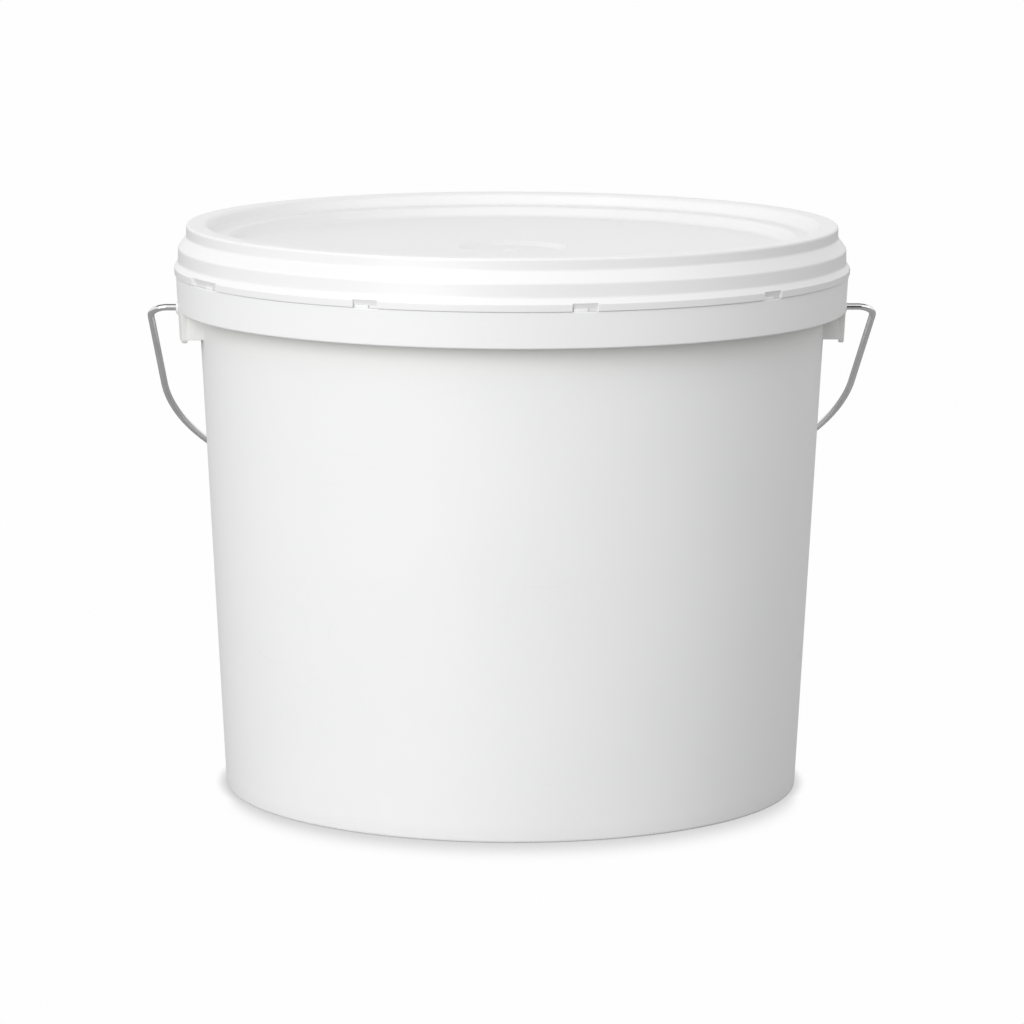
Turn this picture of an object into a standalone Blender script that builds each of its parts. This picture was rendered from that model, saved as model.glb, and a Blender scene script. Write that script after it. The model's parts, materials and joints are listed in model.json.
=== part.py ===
"""Round plastic tub with a press-on lid and a wire bail, built as separate named pieces.

The tub stands on z = 0 with its axis on z. The two ears are on the x axis and the front faces -y.
The bail lies at rest against the back of the wall. Lengths are metres, angles are degrees.
"""
import math

import bmesh
import bpy
from mathutils import Vector

# Tub body
FOOT_RADIUS = 0.1196        # outer wall carried down to the ground
WALL_SPREAD = 0.0102        # how much wider the wall is where the collar begins
NECK_Z = 0.2004             # height of the collar's lower edge
COLLAR_HEIGHT = 0.0146
COLLAR_REACH = 0.0087       # from the wall out to the collar's lower edge
COLLAR_FLARE = 0.0008       # how much wider the collar is at its top
COLLAR_WALL = 0.0022
FLANGE = 0.0022             # the shelf that joins the collar to the wall
WALL = 0.0018
FLOOR = 0.0020
FLOOR_RISE = 0.0045         # hollow under the floor, inside the foot ring
FOOT_WIDTH = 0.0050         # flat ring the tub stands on
FOOT_ROUND = 0.0035
RIM_BEAD_REACH = 0.0032     # the rim's bead, outside the wall's radius at the collar
RIM_BEAD_HEIGHT = 0.0030

# Ears and wire holes
EAR_DROP = 0.0126           # how far an ear reaches below the collar
EAR_HALF_WIDTH = 0.0225
EAR_CHEEK = 0.0020          # thickness of an ear's two side plates
EAR_CHEEK_RISE = 0.0015     # side plates end this much above the ear's lower edge
BOSS_WALL = 0.0024
BOSS_PROUD = 0.0009

# Lid, its heights stacked from the bead's lower edge to the rim's crest
BEAD_RISE = 0.0026          # lower edge to crown
BEAD_FALL = 0.0023          # crown to the lower step
STEP_HEIGHT = 0.0058
SHOULDER_HEIGHT = 0.0045    # slope between the two steps
RIM_BAND = 0.0020           # upright band under the rim
RIM_ROUND = 0.0030
LID_WALL = 0.0016
BEAD_OVERHANG = 0.0007      # the bead's crown, outside the collar's top edge
BEAD_PROUD = 0.0016         # the bead's crown, outside the lower step
STEP_DRAFT = 0.0006
RIM_WIDTH = 0.0086
LEDGE_DROP = 0.0060         # stacking ledge below the rim's crest
LEDGE_WIDTH = 0.0036
STACK_PLAY = 0.0014         # round the foot of a tub stacked on the ledge
PANEL_DROP = 0.0041         # panel below the ledge
PANEL_SLOPE = 0.0032
DISH_FLAT_RADIUS = 0.0160
DISH_SLOPE = 0.0068
DISH_DEPTH = 0.0016
DISH_LIP = 0.0004
DISH_LIP_WIDTH = 0.0016
GATE_RADIUS = 0.0018
GATE_HEIGHT = 0.0006

# Notches in the lid's bead and the tabs that stand in them
NOTCH_COUNT = 10
NOTCH_WIDTH = 4.2
NOTCH_PHASE = 9.8           # first notch, measured from the front towards +x
NOTCH_HEIGHT = 0.0034
NOTCH_DEPTH = 0.0018
SLIT_HEIGHT = 0.0013        # open slit under the wall at the back of a notch
PRY_WIDTH = 5.5             # wider slot beside one notch, for levering the lid
PRY_NOTCH = -2
TAB_SETBACK = 0.0004
TAB_DEPTH = 0.0022
TAB_WIDTH = 2.5

# Gasket, coating, bail and grip
GASKET_HEIGHT = 0.0020
GASKET_WIDTH = 0.0040
FREE_DEPTH = 0.0263         # from the rim down to the coating
WIRE_RADIUS = 0.0014
WIRE_HEAD = 0.0016          # thickness of the upset head inside an ear
HEAD_OVERLAP = 0.0011       # how much wider than its hole the head is
STUB_LENGTH = 0.0125        # from an ear's face out to the middle of the leg
BAIL_BEND = 0.0045
BAIL_LEG_DROP = 0.0680
BAIL_LEG_ANGLE = 4.4
GRIP_LENGTH = 0.0760
GRIP_RADIUS = 0.0072
GRIP_ROUND = 0.0015
GRIP_END_PLAY = 0.0030      # straight wire beyond each end of the grip

# Clearances
GAP = 0.0003                # between pieces that touch
HOLE_PLAY = 0.0004          # round the wire in its hole
EMBED = 0.0007              # how far joined shapes run into each other

# Facets
TURNS = 72
WIRE_SIDES = 12
GRIP_SIDES = 28
SHARP_EDGE = 35.0

# Sizes that follow from the ones above
NECK_RADIUS = FOOT_RADIUS + WALL_SPREAD
COLLAR_TOP = NECK_Z + COLLAR_HEIGHT
EAR_BOTTOM = NECK_Z - EAR_DROP
EAR_FACE = NECK_RADIUS + COLLAR_REACH
FLOOR_TOP = FLOOR_RISE + FLOOR
LID_BOTTOM = COLLAR_TOP + GAP
BEAD_CROWN_Z = LID_BOTTOM + BEAD_RISE
STEP_Z = BEAD_CROWN_Z + BEAD_FALL
SHOULDER_Z = STEP_Z + STEP_HEIGHT
RIM_BAND_Z = SHOULDER_Z + SHOULDER_HEIGHT
LID_TOP = RIM_BAND_Z + RIM_BAND + RIM_ROUND
LID_RADIUS = EAR_FACE + COLLAR_FLARE + BEAD_OVERHANG
LID_STEP_RADIUS = LID_RADIUS - BEAD_PROUD
RIM_BEAD_RADIUS = NECK_RADIUS + RIM_BEAD_REACH
LID_RIM_RADIUS = RIM_BEAD_RADIUS + GAP + LID_WALL
LID_RIM_INNER = LID_RIM_RADIUS - RIM_WIDTH
LEDGE_RADIUS = FOOT_RADIUS + STACK_PLAY
LEDGE_INNER = LEDGE_RADIUS - LEDGE_WIDTH
LEDGE_Z = LID_TOP - LEDGE_DROP
PANEL_Z = LEDGE_Z - PANEL_DROP
DISH_RADIUS = DISH_FLAT_RADIUS + DISH_SLOPE
RIM_ROOF = LID_TOP - LID_WALL
GASKET_TOP = RIM_ROOF - GAP
RIM_TOP = GASKET_TOP - GASKET_HEIGHT - GAP
FILL_LEVEL = RIM_TOP - FREE_DEPTH
HOLE_RADIUS = WIRE_RADIUS + HOLE_PLAY
BAIL_HALF_WIDTH = EAR_FACE + STUB_LENGTH
BAIL_STRAIGHT = GRIP_LENGTH + 2 * GRIP_END_PLAY
PIVOT = Vector((0.0, 0.0, NECK_Z))


def wall_radius(z):
    """Outer radius of the tapered wall at a height."""
    return FOOT_RADIUS + WALL_SPREAD * z / NECK_Z


def collar_radius(z):
    """Outer radius of the collar, and of the ears that carry it on downwards."""
    return EAR_FACE + COLLAR_FLARE * (z - NECK_Z) / COLLAR_HEIGHT


def arc(centre, radius, start, end, steps):
    """Points on an arc in the profile plane."""
    points = []
    for step in range(steps + 1):
        angle = math.radians(start + (end - start) * step / steps)
        points.append((centre[0] + radius * math.cos(angle), centre[1] + radius * math.sin(angle)))
    return points


def turned(radius, angle, z):
    """Point at an angle measured from the front towards +x."""
    return Vector((radius * math.sin(angle), -radius * math.cos(angle), z))


def ring_of(bm, radius, z, steps):
    """One ring of a turned shape, or a single vertex on the axis."""
    if radius < 1e-9:
        return [bm.verts.new((0.0, 0.0, z))]
    return [bm.verts.new(turned(radius, 2 * math.pi * k / steps, z)) for k in range(steps)]


def join_rings(bm, first, second):
    """Faces between two neighbouring rings."""
    count = max(len(first), len(second))
    for k in range(count):
        nxt = (k + 1) % count
        corners = [first[k % len(first)]]
        if len(first) > 1:
            corners.append(first[nxt])
        if len(second) > 1:
            corners.append(second[nxt])
        corners.append(second[k % len(second)])
        bm.faces.new(corners)


def lathe(profile, closed=False, steps=TURNS):
    """Body turned about z from a profile of (radius, z) points."""
    bm = bmesh.new()
    rings = [ring_of(bm, radius, z, steps) for radius, z in profile]
    pairs = list(zip(rings, rings[1:]))
    if closed:
        pairs.append((rings[-1], rings[0]))
    for first, second in pairs:
        join_rings(bm, first, second)
    return bm


def sector(bm, profile, start, end, steps=3):
    """Adds a block swept through part of a turn, closed by flat ends."""
    rows = []
    for step in range(steps + 1):
        angle = math.radians(start + (end - start) * step / steps)
        rows.append([bm.verts.new(turned(radius, angle, z)) for radius, z in profile])
    count = len(profile)
    for first, second in zip(rows, rows[1:]):
        for k in range(count):
            nxt = (k + 1) % count
            bm.faces.new((first[k], first[nxt], second[nxt], second[k]))
    bm.faces.new(rows[0])
    bm.faces.new(rows[-1])


def rectangle(inner, outer, low, high):
    """Profile of a plain block."""
    return [(inner, low), (outer, low), (outer, high), (inner, high)]


def rod(bm, start, end, radius, sides=24):
    """Adds a closed cylinder along x."""
    rows = []
    angles = [2 * math.pi * k / sides for k in range(sides)]
    for x in (start, end):
        spots = [PIVOT + Vector((x, radius * math.cos(a), radius * math.sin(a))) for a in angles]
        rows.append([bm.verts.new(spot) for spot in spots])
    for k in range(sides):
        nxt = (k + 1) % sides
        bm.faces.new((rows[0][k], rows[0][nxt], rows[1][nxt], rows[1][k]))
    bm.faces.new(rows[0])
    bm.faces.new(rows[1])


def block(bm, low, high):
    """Adds a closed box between two corners."""
    made = bmesh.ops.create_cube(bm, size=1.0)["verts"]
    for vert in made:
        for axis in range(3):
            vert.co[axis] = high[axis] if vert.co[axis] > 0 else low[axis]


def to_object(name, bm, origin=(0.0, 0.0, 0.0)):
    """Turns a bmesh in world coordinates into an object whose origin is where asked."""
    bmesh.ops.recalc_face_normals(bm, faces=bm.faces)
    bmesh.ops.translate(bm, verts=bm.verts, vec=-Vector(origin))
    mesh = bpy.data.meshes.new(name)
    bm.to_mesh(mesh)
    bm.free()
    made = bpy.data.objects.new(name, mesh)
    made.location = origin
    bpy.context.scene.collection.objects.link(made)
    return made


def combine(target, bm, operation):
    """Joins a shape to an object or cuts it away, and keeps the finished mesh."""
    tool = to_object("tool", bm)
    modifier = target.modifiers.new("combine", "BOOLEAN")
    modifier.operation = operation
    modifier.solver = "EXACT"
    modifier.object = tool
    bpy.context.view_layer.update()
    done = bpy.data.meshes.new_from_object(target.evaluated_get(bpy.context.evaluated_depsgraph_get()))
    target.modifiers.remove(modifier)
    target.data = done
    done.name = target.name
    bpy.data.objects.remove(tool)


def finish(target, colour, roughness, metallic=0.0):
    """Gives a piece its own plain material and smooth shading between its sharp edges."""
    material = bpy.data.materials.new(target.name)
    material.use_nodes = True
    shader = material.node_tree.nodes["Principled BSDF"]
    shader.inputs["Base Color"].default_value = (*colour, 1.0)
    shader.inputs["Roughness"].default_value = roughness
    shader.inputs["Metallic"].default_value = metallic
    target.data.materials.clear()
    target.data.materials.append(material)
    target.data.shade_smooth()
    target.data.set_sharp_from_angle(angle=math.radians(SHARP_EDGE))


def notch_starts():
    """Angle at which each notch begins, on its -x side as seen from the front."""
    first = NOTCH_PHASE - NOTCH_WIDTH / 2
    return [first + 360.0 / NOTCH_COUNT * k for k in range(NOTCH_COUNT)]


def body_profile():
    """Tub from the middle of its underside, up the outside, over the rim and down inside."""
    foot_in = wall_radius(0.0) - FOOT_ROUND - FOOT_WIDTH
    bead = RIM_BEAD_RADIUS
    bead_low = RIM_TOP - RIM_BEAD_HEIGHT
    bead_run = bead - wall_radius(bead_low)
    points = [(0.0, FLOOR_RISE), (foot_in - FLOOR_RISE / 2, FLOOR_RISE), (foot_in, 0.0)]
    points += arc((wall_radius(0.0) - FOOT_ROUND, FOOT_ROUND), FOOT_ROUND, -90, 0, 4)
    points += [(wall_radius(COLLAR_TOP - FLANGE), COLLAR_TOP - FLANGE)]
    points += [(collar_radius(COLLAR_TOP) - COLLAR_WALL, COLLAR_TOP - FLANGE)]
    points += [(collar_radius(EAR_BOTTOM) - COLLAR_WALL, EAR_BOTTOM), (collar_radius(EAR_BOTTOM), EAR_BOTTOM)]
    points += [(collar_radius(COLLAR_TOP), COLLAR_TOP), (wall_radius(COLLAR_TOP), COLLAR_TOP)]
    points += [(wall_radius(bead_low - bead_run), bead_low - bead_run), (bead, bead_low)]
    points += [(bead, RIM_TOP - RIM_BEAD_HEIGHT / 2), (wall_radius(RIM_TOP), RIM_TOP)]
    points += [(wall_radius(RIM_TOP) - WALL, RIM_TOP)]
    points += [(wall_radius(FLOOR_TOP + FOOT_ROUND) - WALL, FLOOR_TOP + FOOT_ROUND)]
    points += [(wall_radius(FLOOR_TOP) - WALL - FOOT_ROUND, FLOOR_TOP), (0.0, FLOOR_TOP)]
    return points


def ear_half_angle():
    """Half of the part of a turn that an ear takes."""
    return math.degrees(math.asin(EAR_HALF_WIDTH / EAR_FACE))


def cut_collar(body):
    """Shortens the skirt to the collar everywhere but at the two ears."""
    bm = bmesh.new()
    half = ear_half_angle()
    profile = rectangle(NECK_RADIUS + EMBED, LID_RADIUS + EMBED, EAR_BOTTOM - EMBED, NECK_Z)
    sector(bm, profile, -90 + half, 90 - half, 36)
    sector(bm, profile, 90 + half, 270 - half, 36)
    combine(body, bm, "DIFFERENCE")


def add_cheeks(body):
    """Side plates that close an ear towards the wall."""
    bm = bmesh.new()
    low = EAR_BOTTOM + EAR_CHEEK_RISE
    high = COLLAR_TOP - FLANGE + EMBED
    for side in (-1, 1):
        for end in (-1, 1):
            outer_y = EAR_HALF_WIDTH - EMBED / 2
            edges_y = sorted((end * outer_y, end * (outer_y - EAR_CHEEK)))
            wall_x = math.sqrt(wall_radius(low) ** 2 - outer_y ** 2) - EMBED
            skin_x = math.sqrt((collar_radius(low) - COLLAR_WALL / 2) ** 2 - outer_y ** 2)
            edges_x = sorted((side * wall_x, side * skin_x))
            block(bm, (edges_x[0], edges_y[0], low), (edges_x[1], edges_y[1], high))
    combine(body, bm, "UNION")


def add_bosses(body):
    """Raised rings round the two wire holes, then the holes."""
    rings = bmesh.new()
    holes = bmesh.new()
    proud = EAR_FACE + BOSS_PROUD
    for side in (-1, 1):
        rod(rings, side * (EAR_FACE - COLLAR_WALL / 2), side * proud, HOLE_RADIUS + BOSS_WALL)
        rod(holes, side * (NECK_RADIUS + EMBED), side * (proud + EMBED), HOLE_RADIUS)
    combine(body, rings, "UNION")
    combine(body, holes, "DIFFERENCE")


def add_tabs(body):
    """Small tabs on the collar, one in each notch of the lid."""
    bm = bmesh.new()
    outer = collar_radius(COLLAR_TOP) - TAB_SETBACK
    profile = rectangle(outer - TAB_DEPTH, outer, COLLAR_TOP - EMBED, LID_BOTTOM + SLIT_HEIGHT - GAP)
    margin = math.degrees(GAP / outer)
    for start in notch_starts():
        sector(bm, profile, start + margin, start + margin + TAB_WIDTH)
    combine(body, bm, "UNION")


def build_body():
    body = to_object("tub_body", lathe(body_profile()))
    cut_collar(body)
    add_cheeks(body)
    add_bosses(body)
    add_tabs(body)
    finish(body, (0.86, 0.87, 0.86), 0.35)


def lid_outside():
    """Upper side of the lid from its middle out to the lower edge of the bead."""
    dish = PANEL_Z - DISH_DEPTH
    points = [(0.0, dish + GATE_HEIGHT), (GATE_RADIUS, dish + GATE_HEIGHT), (GATE_RADIUS, dish)]
    points += [(DISH_FLAT_RADIUS, dish), (DISH_RADIUS, PANEL_Z + DISH_LIP)]
    points += [(DISH_RADIUS + DISH_LIP_WIDTH, PANEL_Z), (LEDGE_INNER - PANEL_SLOPE, PANEL_Z)]
    points += [(LEDGE_INNER, LEDGE_Z), (LEDGE_RADIUS, LEDGE_Z)]
    points += [(LID_RIM_INNER, LID_TOP - RIM_ROUND / 5), (LID_RIM_INNER + RIM_ROUND / 3, LID_TOP)]
    points += [(LID_RIM_RADIUS - RIM_ROUND, LID_TOP)]
    points += arc((LID_RIM_RADIUS - RIM_ROUND, LID_TOP - RIM_ROUND), RIM_ROUND, 60, 0, 2)
    points += [(LID_RIM_RADIUS, RIM_BAND_Z), (LID_STEP_RADIUS - STEP_DRAFT, SHOULDER_Z)]
    points += [(LID_STEP_RADIUS, STEP_Z), (LID_RADIUS, BEAD_CROWN_Z)]
    points += [(LID_RADIUS - BEAD_OVERHANG, LID_BOTTOM)]
    return points


def lid_inside():
    """Under side of the lid from the bead's lower edge back to its middle, one wall thickness in."""
    under = PANEL_Z - LID_WALL
    step_in = LID_STEP_RADIUS - LID_WALL
    points = [(step_in + STEP_DRAFT, LID_BOTTOM), (step_in - STEP_DRAFT, SHOULDER_Z - LID_WALL / 2)]
    points += [(LID_RIM_RADIUS - LID_WALL, RIM_BAND_Z - LID_WALL / 2)]
    points += [(LID_RIM_RADIUS - LID_WALL, RIM_ROOF), (LID_RIM_INNER + LID_WALL, RIM_ROOF)]
    points += [(LEDGE_RADIUS + LID_WALL / 2, LEDGE_Z - LID_WALL)]
    points += [(LEDGE_INNER + LID_WALL, LEDGE_Z - LID_WALL), (LEDGE_INNER + LID_WALL - PANEL_SLOPE, under)]
    points += [(DISH_RADIUS + LID_WALL, under), (DISH_FLAT_RADIUS + LID_WALL, under - DISH_DEPTH)]
    points += [(0.0, under - DISH_DEPTH)]
    return points


def cut_notches(lid):
    """Notches in the bead, with an open slit below the wall at the back of each."""
    bm = bmesh.new()
    low = LID_BOTTOM - EMBED
    outer = LID_RADIUS + EMBED
    slit_in = LID_STEP_RADIUS - LID_WALL - EMBED
    back = LID_RADIUS - NOTCH_DEPTH
    slit_top = LID_BOTTOM + SLIT_HEIGHT
    top = LID_BOTTOM + NOTCH_HEIGHT
    profile = [(slit_in, low), (outer, low), (outer, top), (back, top), (back, slit_top), (slit_in, slit_top)]
    starts = notch_starts()
    for k, start in enumerate(starts):
        extra = PRY_WIDTH if k == PRY_NOTCH % NOTCH_COUNT else 0.0
        sector(bm, profile, start - extra, start + NOTCH_WIDTH)
    combine(lid, bm, "DIFFERENCE")


def build_lid():
    lid = to_object("lid", lathe(lid_outside() + lid_inside()))
    cut_notches(lid)
    finish(lid, (0.88, 0.89, 0.88), 0.32)


def build_gasket():
    outer = LID_RIM_RADIUS - LID_WALL - GAP
    profile = rectangle(outer - GASKET_WIDTH, outer, GASKET_TOP - GASKET_HEIGHT, GASKET_TOP)
    finish(to_object("lid_gasket", lathe(profile, closed=True)), (0.25, 0.26, 0.27), 0.8)


def build_fill():
    """The coating, standing in the tub up to its fill level."""
    low = FLOOR_TOP + GAP
    inset = WALL + GAP
    points = [(0.0, low), (wall_radius(low) - inset - FOOT_ROUND, low)]
    points += [(wall_radius(low + FOOT_ROUND) - inset, low + FOOT_ROUND)]
    points += [(wall_radius(FILL_LEVEL) - inset, FILL_LEVEL), (0.0, FILL_LEVEL)]
    finish(to_object("coating_fill", lathe(points)), (0.55, 0.57, 0.58), 0.25)


def bail_half():
    """Half of the bail as (x, drop) points from the inner end of a stub to the middle."""
    lean = math.radians(BAIL_LEG_ANGLE)
    head_in = EAR_FACE - COLLAR_WALL - GAP - WIRE_HEAD
    points = [(head_in, 0.0), (head_in + WIRE_HEAD, 0.0)]
    corner = (BAIL_HALF_WIDTH - BAIL_BEND, BAIL_BEND)
    points += arc(corner, BAIL_BEND, -90, BAIL_LEG_ANGLE, 6)
    start_x, start_drop = points[-1]
    leg_x = start_x - (BAIL_LEG_DROP - start_drop) * math.tan(lean)
    bow = (leg_x - BAIL_STRAIGHT / 2) / math.cos(lean)
    centre = (leg_x - bow * math.cos(lean), BAIL_LEG_DROP - bow * math.sin(lean))
    points += arc(centre, bow, BAIL_LEG_ANGLE, 90, 14)
    return points


def grip_drop():
    """Distance from the pivot to the straight middle of the bail."""
    return bail_half()[-1][1]


def rest_angle():
    """Angle from straight down at which the grip lies on the back of the wall."""
    slope = math.atan(WALL_SPREAD / NECK_Z)
    reach = grip_drop()
    low, high = 0.0, 89.0
    for _ in range(60):
        middle = (low + high) / 2
        lean = math.radians(middle)
        z = PIVOT.z - reach * math.cos(lean)
        free = (reach * math.sin(lean) - wall_radius(z)) * math.cos(slope) - GRIP_RADIUS - GAP
        low, high = (middle, high) if free < 0 else (low, middle)
    return math.radians(high)


def hang(x, drop):
    """Point of the bail's plane, leaned back to rest."""
    lean = rest_angle()
    return PIVOT + Vector((x, drop * math.sin(lean), -drop * math.cos(lean)))


def sweep(points, radii, normal):
    """Round bar along a flat path, with one radius for each point."""
    bm = bmesh.new()
    rings = []
    angles = [2 * math.pi * n / WIRE_SIDES for n in range(WIRE_SIDES)]
    for k, point in enumerate(points):
        ahead = points[min(k + 1, len(points) - 1)] - points[max(k - 1, 0)]
        across = ahead.normalized().cross(normal)
        arms = [math.cos(a) * normal + math.sin(a) * across for a in angles]
        rings.append([bm.verts.new(point + radii[k] * arm) for arm in arms])
    for first, second in zip(rings, rings[1:]):
        join_rings(bm, first, second)
    bm.faces.new(rings[0])
    bm.faces.new(rings[-1])
    return bm


def build_bail():
    """Wire with upset heads inside the ears."""
    half = bail_half()
    path = half[:2] + half[1:]
    points = [hang(x, drop) for x, drop in path]
    points += [hang(-x, drop) for x, drop in reversed(path)]
    radii = [HOLE_RADIUS + HEAD_OVERLAP] * 2 + [WIRE_RADIUS] * (len(path) - 2)
    lean = rest_angle()
    normal = Vector((0.0, math.cos(lean), math.sin(lean)))
    wire = to_object("bail_wire", sweep(points, radii + radii[::-1], normal), PIVOT)
    finish(wire, (0.62, 0.62, 0.63), 0.3, 1.0)


def build_grip():
    """Tube that turns on the straight middle of the bail."""
    half = GRIP_LENGTH / 2
    bore = WIRE_RADIUS + GAP
    outer = GRIP_RADIUS
    profile = [(bore, -half), (outer - GRIP_ROUND, -half)]
    profile += arc((outer - GRIP_ROUND, GRIP_ROUND - half), GRIP_ROUND, -60, 0, 2)
    profile += arc((outer - GRIP_ROUND, half - GRIP_ROUND), GRIP_ROUND, 0, 60, 2)
    profile += [(outer - GRIP_ROUND, half), (bore, half)]
    bm = lathe(profile, closed=True, steps=GRIP_SIDES)
    centre = hang(0.0, grip_drop())
    for vert in bm.verts:
        x, y, z = vert.co
        vert.co = centre + Vector((z, x, y))
    finish(to_object("bail_grip", bm, centre), (0.86, 0.87, 0.86), 0.45)


def main():
    for old in list(bpy.data.objects):
        bpy.data.objects.remove(old)
    build_body()
    build_lid()
    build_gasket()
    build_fill()
    build_bail()
    build_grip()


main()
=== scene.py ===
# %% [markdown]
# # A white plastic tub with a press-on lid and a wire bail
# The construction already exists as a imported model: a tub, its lid with a gasket, the coating
# inside, a bent wire bail and a grip that turns on it. This lesson dresses that model. Every
# solid there is made of flat facets, so each one gets a finer mesh of the same size, in the same
# place, and a finish of its own. The model is loaded first, and its box is kept, because the
# dressed tub has to fit the same box at the end.

import json
import math

import bmesh
import bpy
from mathutils import Matrix, Vector


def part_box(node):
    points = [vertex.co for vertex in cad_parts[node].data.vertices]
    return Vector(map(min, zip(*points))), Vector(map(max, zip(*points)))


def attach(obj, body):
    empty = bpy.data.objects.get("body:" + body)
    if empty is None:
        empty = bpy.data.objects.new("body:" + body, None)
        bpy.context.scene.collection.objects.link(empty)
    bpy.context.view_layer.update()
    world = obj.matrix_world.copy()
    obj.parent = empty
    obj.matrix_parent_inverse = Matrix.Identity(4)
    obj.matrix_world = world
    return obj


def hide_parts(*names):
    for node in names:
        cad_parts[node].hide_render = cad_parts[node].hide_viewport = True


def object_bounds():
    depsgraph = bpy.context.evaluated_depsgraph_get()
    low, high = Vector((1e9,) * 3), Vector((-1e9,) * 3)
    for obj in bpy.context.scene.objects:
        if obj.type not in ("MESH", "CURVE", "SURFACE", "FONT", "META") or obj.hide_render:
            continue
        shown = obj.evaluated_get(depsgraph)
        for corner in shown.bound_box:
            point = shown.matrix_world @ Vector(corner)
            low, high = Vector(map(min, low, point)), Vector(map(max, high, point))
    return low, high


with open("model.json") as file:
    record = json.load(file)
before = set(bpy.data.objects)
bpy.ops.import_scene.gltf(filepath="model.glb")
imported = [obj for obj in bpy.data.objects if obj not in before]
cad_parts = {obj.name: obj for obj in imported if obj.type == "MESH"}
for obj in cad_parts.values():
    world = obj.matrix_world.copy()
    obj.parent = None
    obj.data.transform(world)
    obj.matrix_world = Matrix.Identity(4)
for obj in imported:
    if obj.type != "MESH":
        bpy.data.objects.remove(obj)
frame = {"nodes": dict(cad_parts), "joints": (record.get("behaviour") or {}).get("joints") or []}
cad_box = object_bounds()
scene = bpy.context.scene
joints = {joint["name"]: joint for joint in frame["joints"]}
print("nodes:", sorted(frame["nodes"]))
print("joints:", sorted(joints))

# %% [markdown]
# ## The camera
# The picture was taken from a little above the lid with a long lens, so upright edges stay almost
# parallel and the lid is a narrow ellipse. A camera can be placed by eye, but here it is worked
# out: the distance sets how fast the lid's ellipse narrows, the pitch sets where the tub stands in
# the frame, and the lens sets its size. Azimuth 0 looks straight at the front, along +Y.

# %% Camera
PICTURE_SIDE = 1024           # pixels on each side of the square picture
FOCAL_LENGTH = 4812.5         # in pixels
SENSOR_WIDTH = 36.0           # millimetres
CAMERA_DISTANCE = 1.9877      # level distance to the tub's axis
CAMERA_HEIGHT = 0.4404
CAMERA_AZIMUTH = -2.0         # degrees
CAMERA_PITCH = 9.327          # degrees below level
CAMERA_ROLL = 0.18            # degrees
AXIS_OFFSET = 0.7             # pixels by which the axis lies left of the middle


def add_object(name, data):
    """Object that holds some data, linked to the scene."""
    made = bpy.data.objects.new(name, data)
    scene.collection.objects.link(made)
    return made


camera = add_object("camera", bpy.data.cameras.new("camera"))
camera.data.sensor_width = SENSOR_WIDTH
camera.data.lens = FOCAL_LENGTH * SENSOR_WIDTH / PICTURE_SIDE
bearing = math.radians(CAMERA_AZIMUTH)
stand = Vector((math.sin(bearing) * CAMERA_DISTANCE, -math.cos(bearing) * CAMERA_DISTANCE, CAMERA_HEIGHT))
aim = Matrix.Rotation(bearing - AXIS_OFFSET / FOCAL_LENGTH, 4, "Z")
aim = aim @ Matrix.Rotation(math.radians(90.0 - CAMERA_PITCH), 4, "X")
aim = aim @ Matrix.Rotation(math.radians(CAMERA_ROLL), 4, "Z")
camera.matrix_world = Matrix.Translation(stand) @ aim
scene.camera = camera
scene.view_settings.view_transform = "Standard"
print("lens in millimetres:", round(camera.data.lens, 2))

# %% [markdown]
# ## A helper for node trees
# Materials and Geometry Nodes are both trees of nodes. Built in a script, each node takes three
# kinds of line: make it, set its options, fill its sockets. One small helper does all three, and
# a socket given as a value is linked instead of set, so a tree reads from top to bottom. The rest
# are short forms of the nodes that come up again and again, a start for every material, and a
# start for node groups.

# %% Node helpers
MIX_FACTOR, MIX_FIRST, MIX_SECOND, MIX_RESULT = 0, 6, 7, 2   # a Mix node's colour sockets


def place(tree, kind, sockets=None, **options):
    """Adds a node, sets its options, and links or sets its input sockets."""
    node = tree.nodes.new(kind)
    for name, value in options.items():
        setattr(node, name, value)
    for key, value in (sockets or {}).items():
        if isinstance(value, bpy.types.NodeSocket):
            tree.links.new(value, node.inputs[key])
        else:
            node.inputs[key].default_value = value
    return node


def reckon(tree, operation, *values):
    """Result of a Math node."""
    return place(tree, "ShaderNodeMath", dict(enumerate(values)), operation=operation).outputs[0]


def reckon_vector(tree, operation, *values):
    """Result of a Vector Math node."""
    return place(tree, "ShaderNodeVectorMath", dict(enumerate(values)), operation=operation).outputs[0]


def sum_of(tree, first, second):
    return reckon(tree, "ADD", first, second)


def product(tree, first, second):
    return reckon(tree, "MULTIPLY", first, second)


def remap(tree, value, old_low, old_high, new_low, new_high):
    """Carries a value from one range to another, held at both ends."""
    sockets = {0: value, 1: old_low, 2: old_high, 3: new_low, 4: new_high}
    return place(tree, "ShaderNodeMapRange", sockets).outputs[0]


def share_of(tree, value, span):
    """0 below a span of values, 1 above it, and a straight rise between."""
    return remap(tree, value, *span, 0.0, 1.0)


def blend_colours(tree, factor, first, second):
    """Mixes two colours by a factor from 0 to 1."""
    sockets = {MIX_FACTOR: factor, MIX_FIRST: first, MIX_SECOND: second}
    return place(tree, "ShaderNodeMix", sockets, data_type="RGBA").outputs[MIX_RESULT]


def noise(tree, where, scale, detail=2.0, distortion=0.0):
    """Soft random pattern between 0 and 1."""
    sockets = {"Vector": where, "Scale": scale, "Detail": detail, "Distortion": distortion}
    return place(tree, "ShaderNodeTexNoise", sockets)


def start_finish(name):
    """New material with its tree, its shader and Object coordinates."""
    material = bpy.data.materials.new(name)
    material.use_nodes = True
    tree = material.node_tree
    where = place(tree, "ShaderNodeTexCoord").outputs["Object"]
    return material, tree, tree.nodes["Principled BSDF"], where


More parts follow.
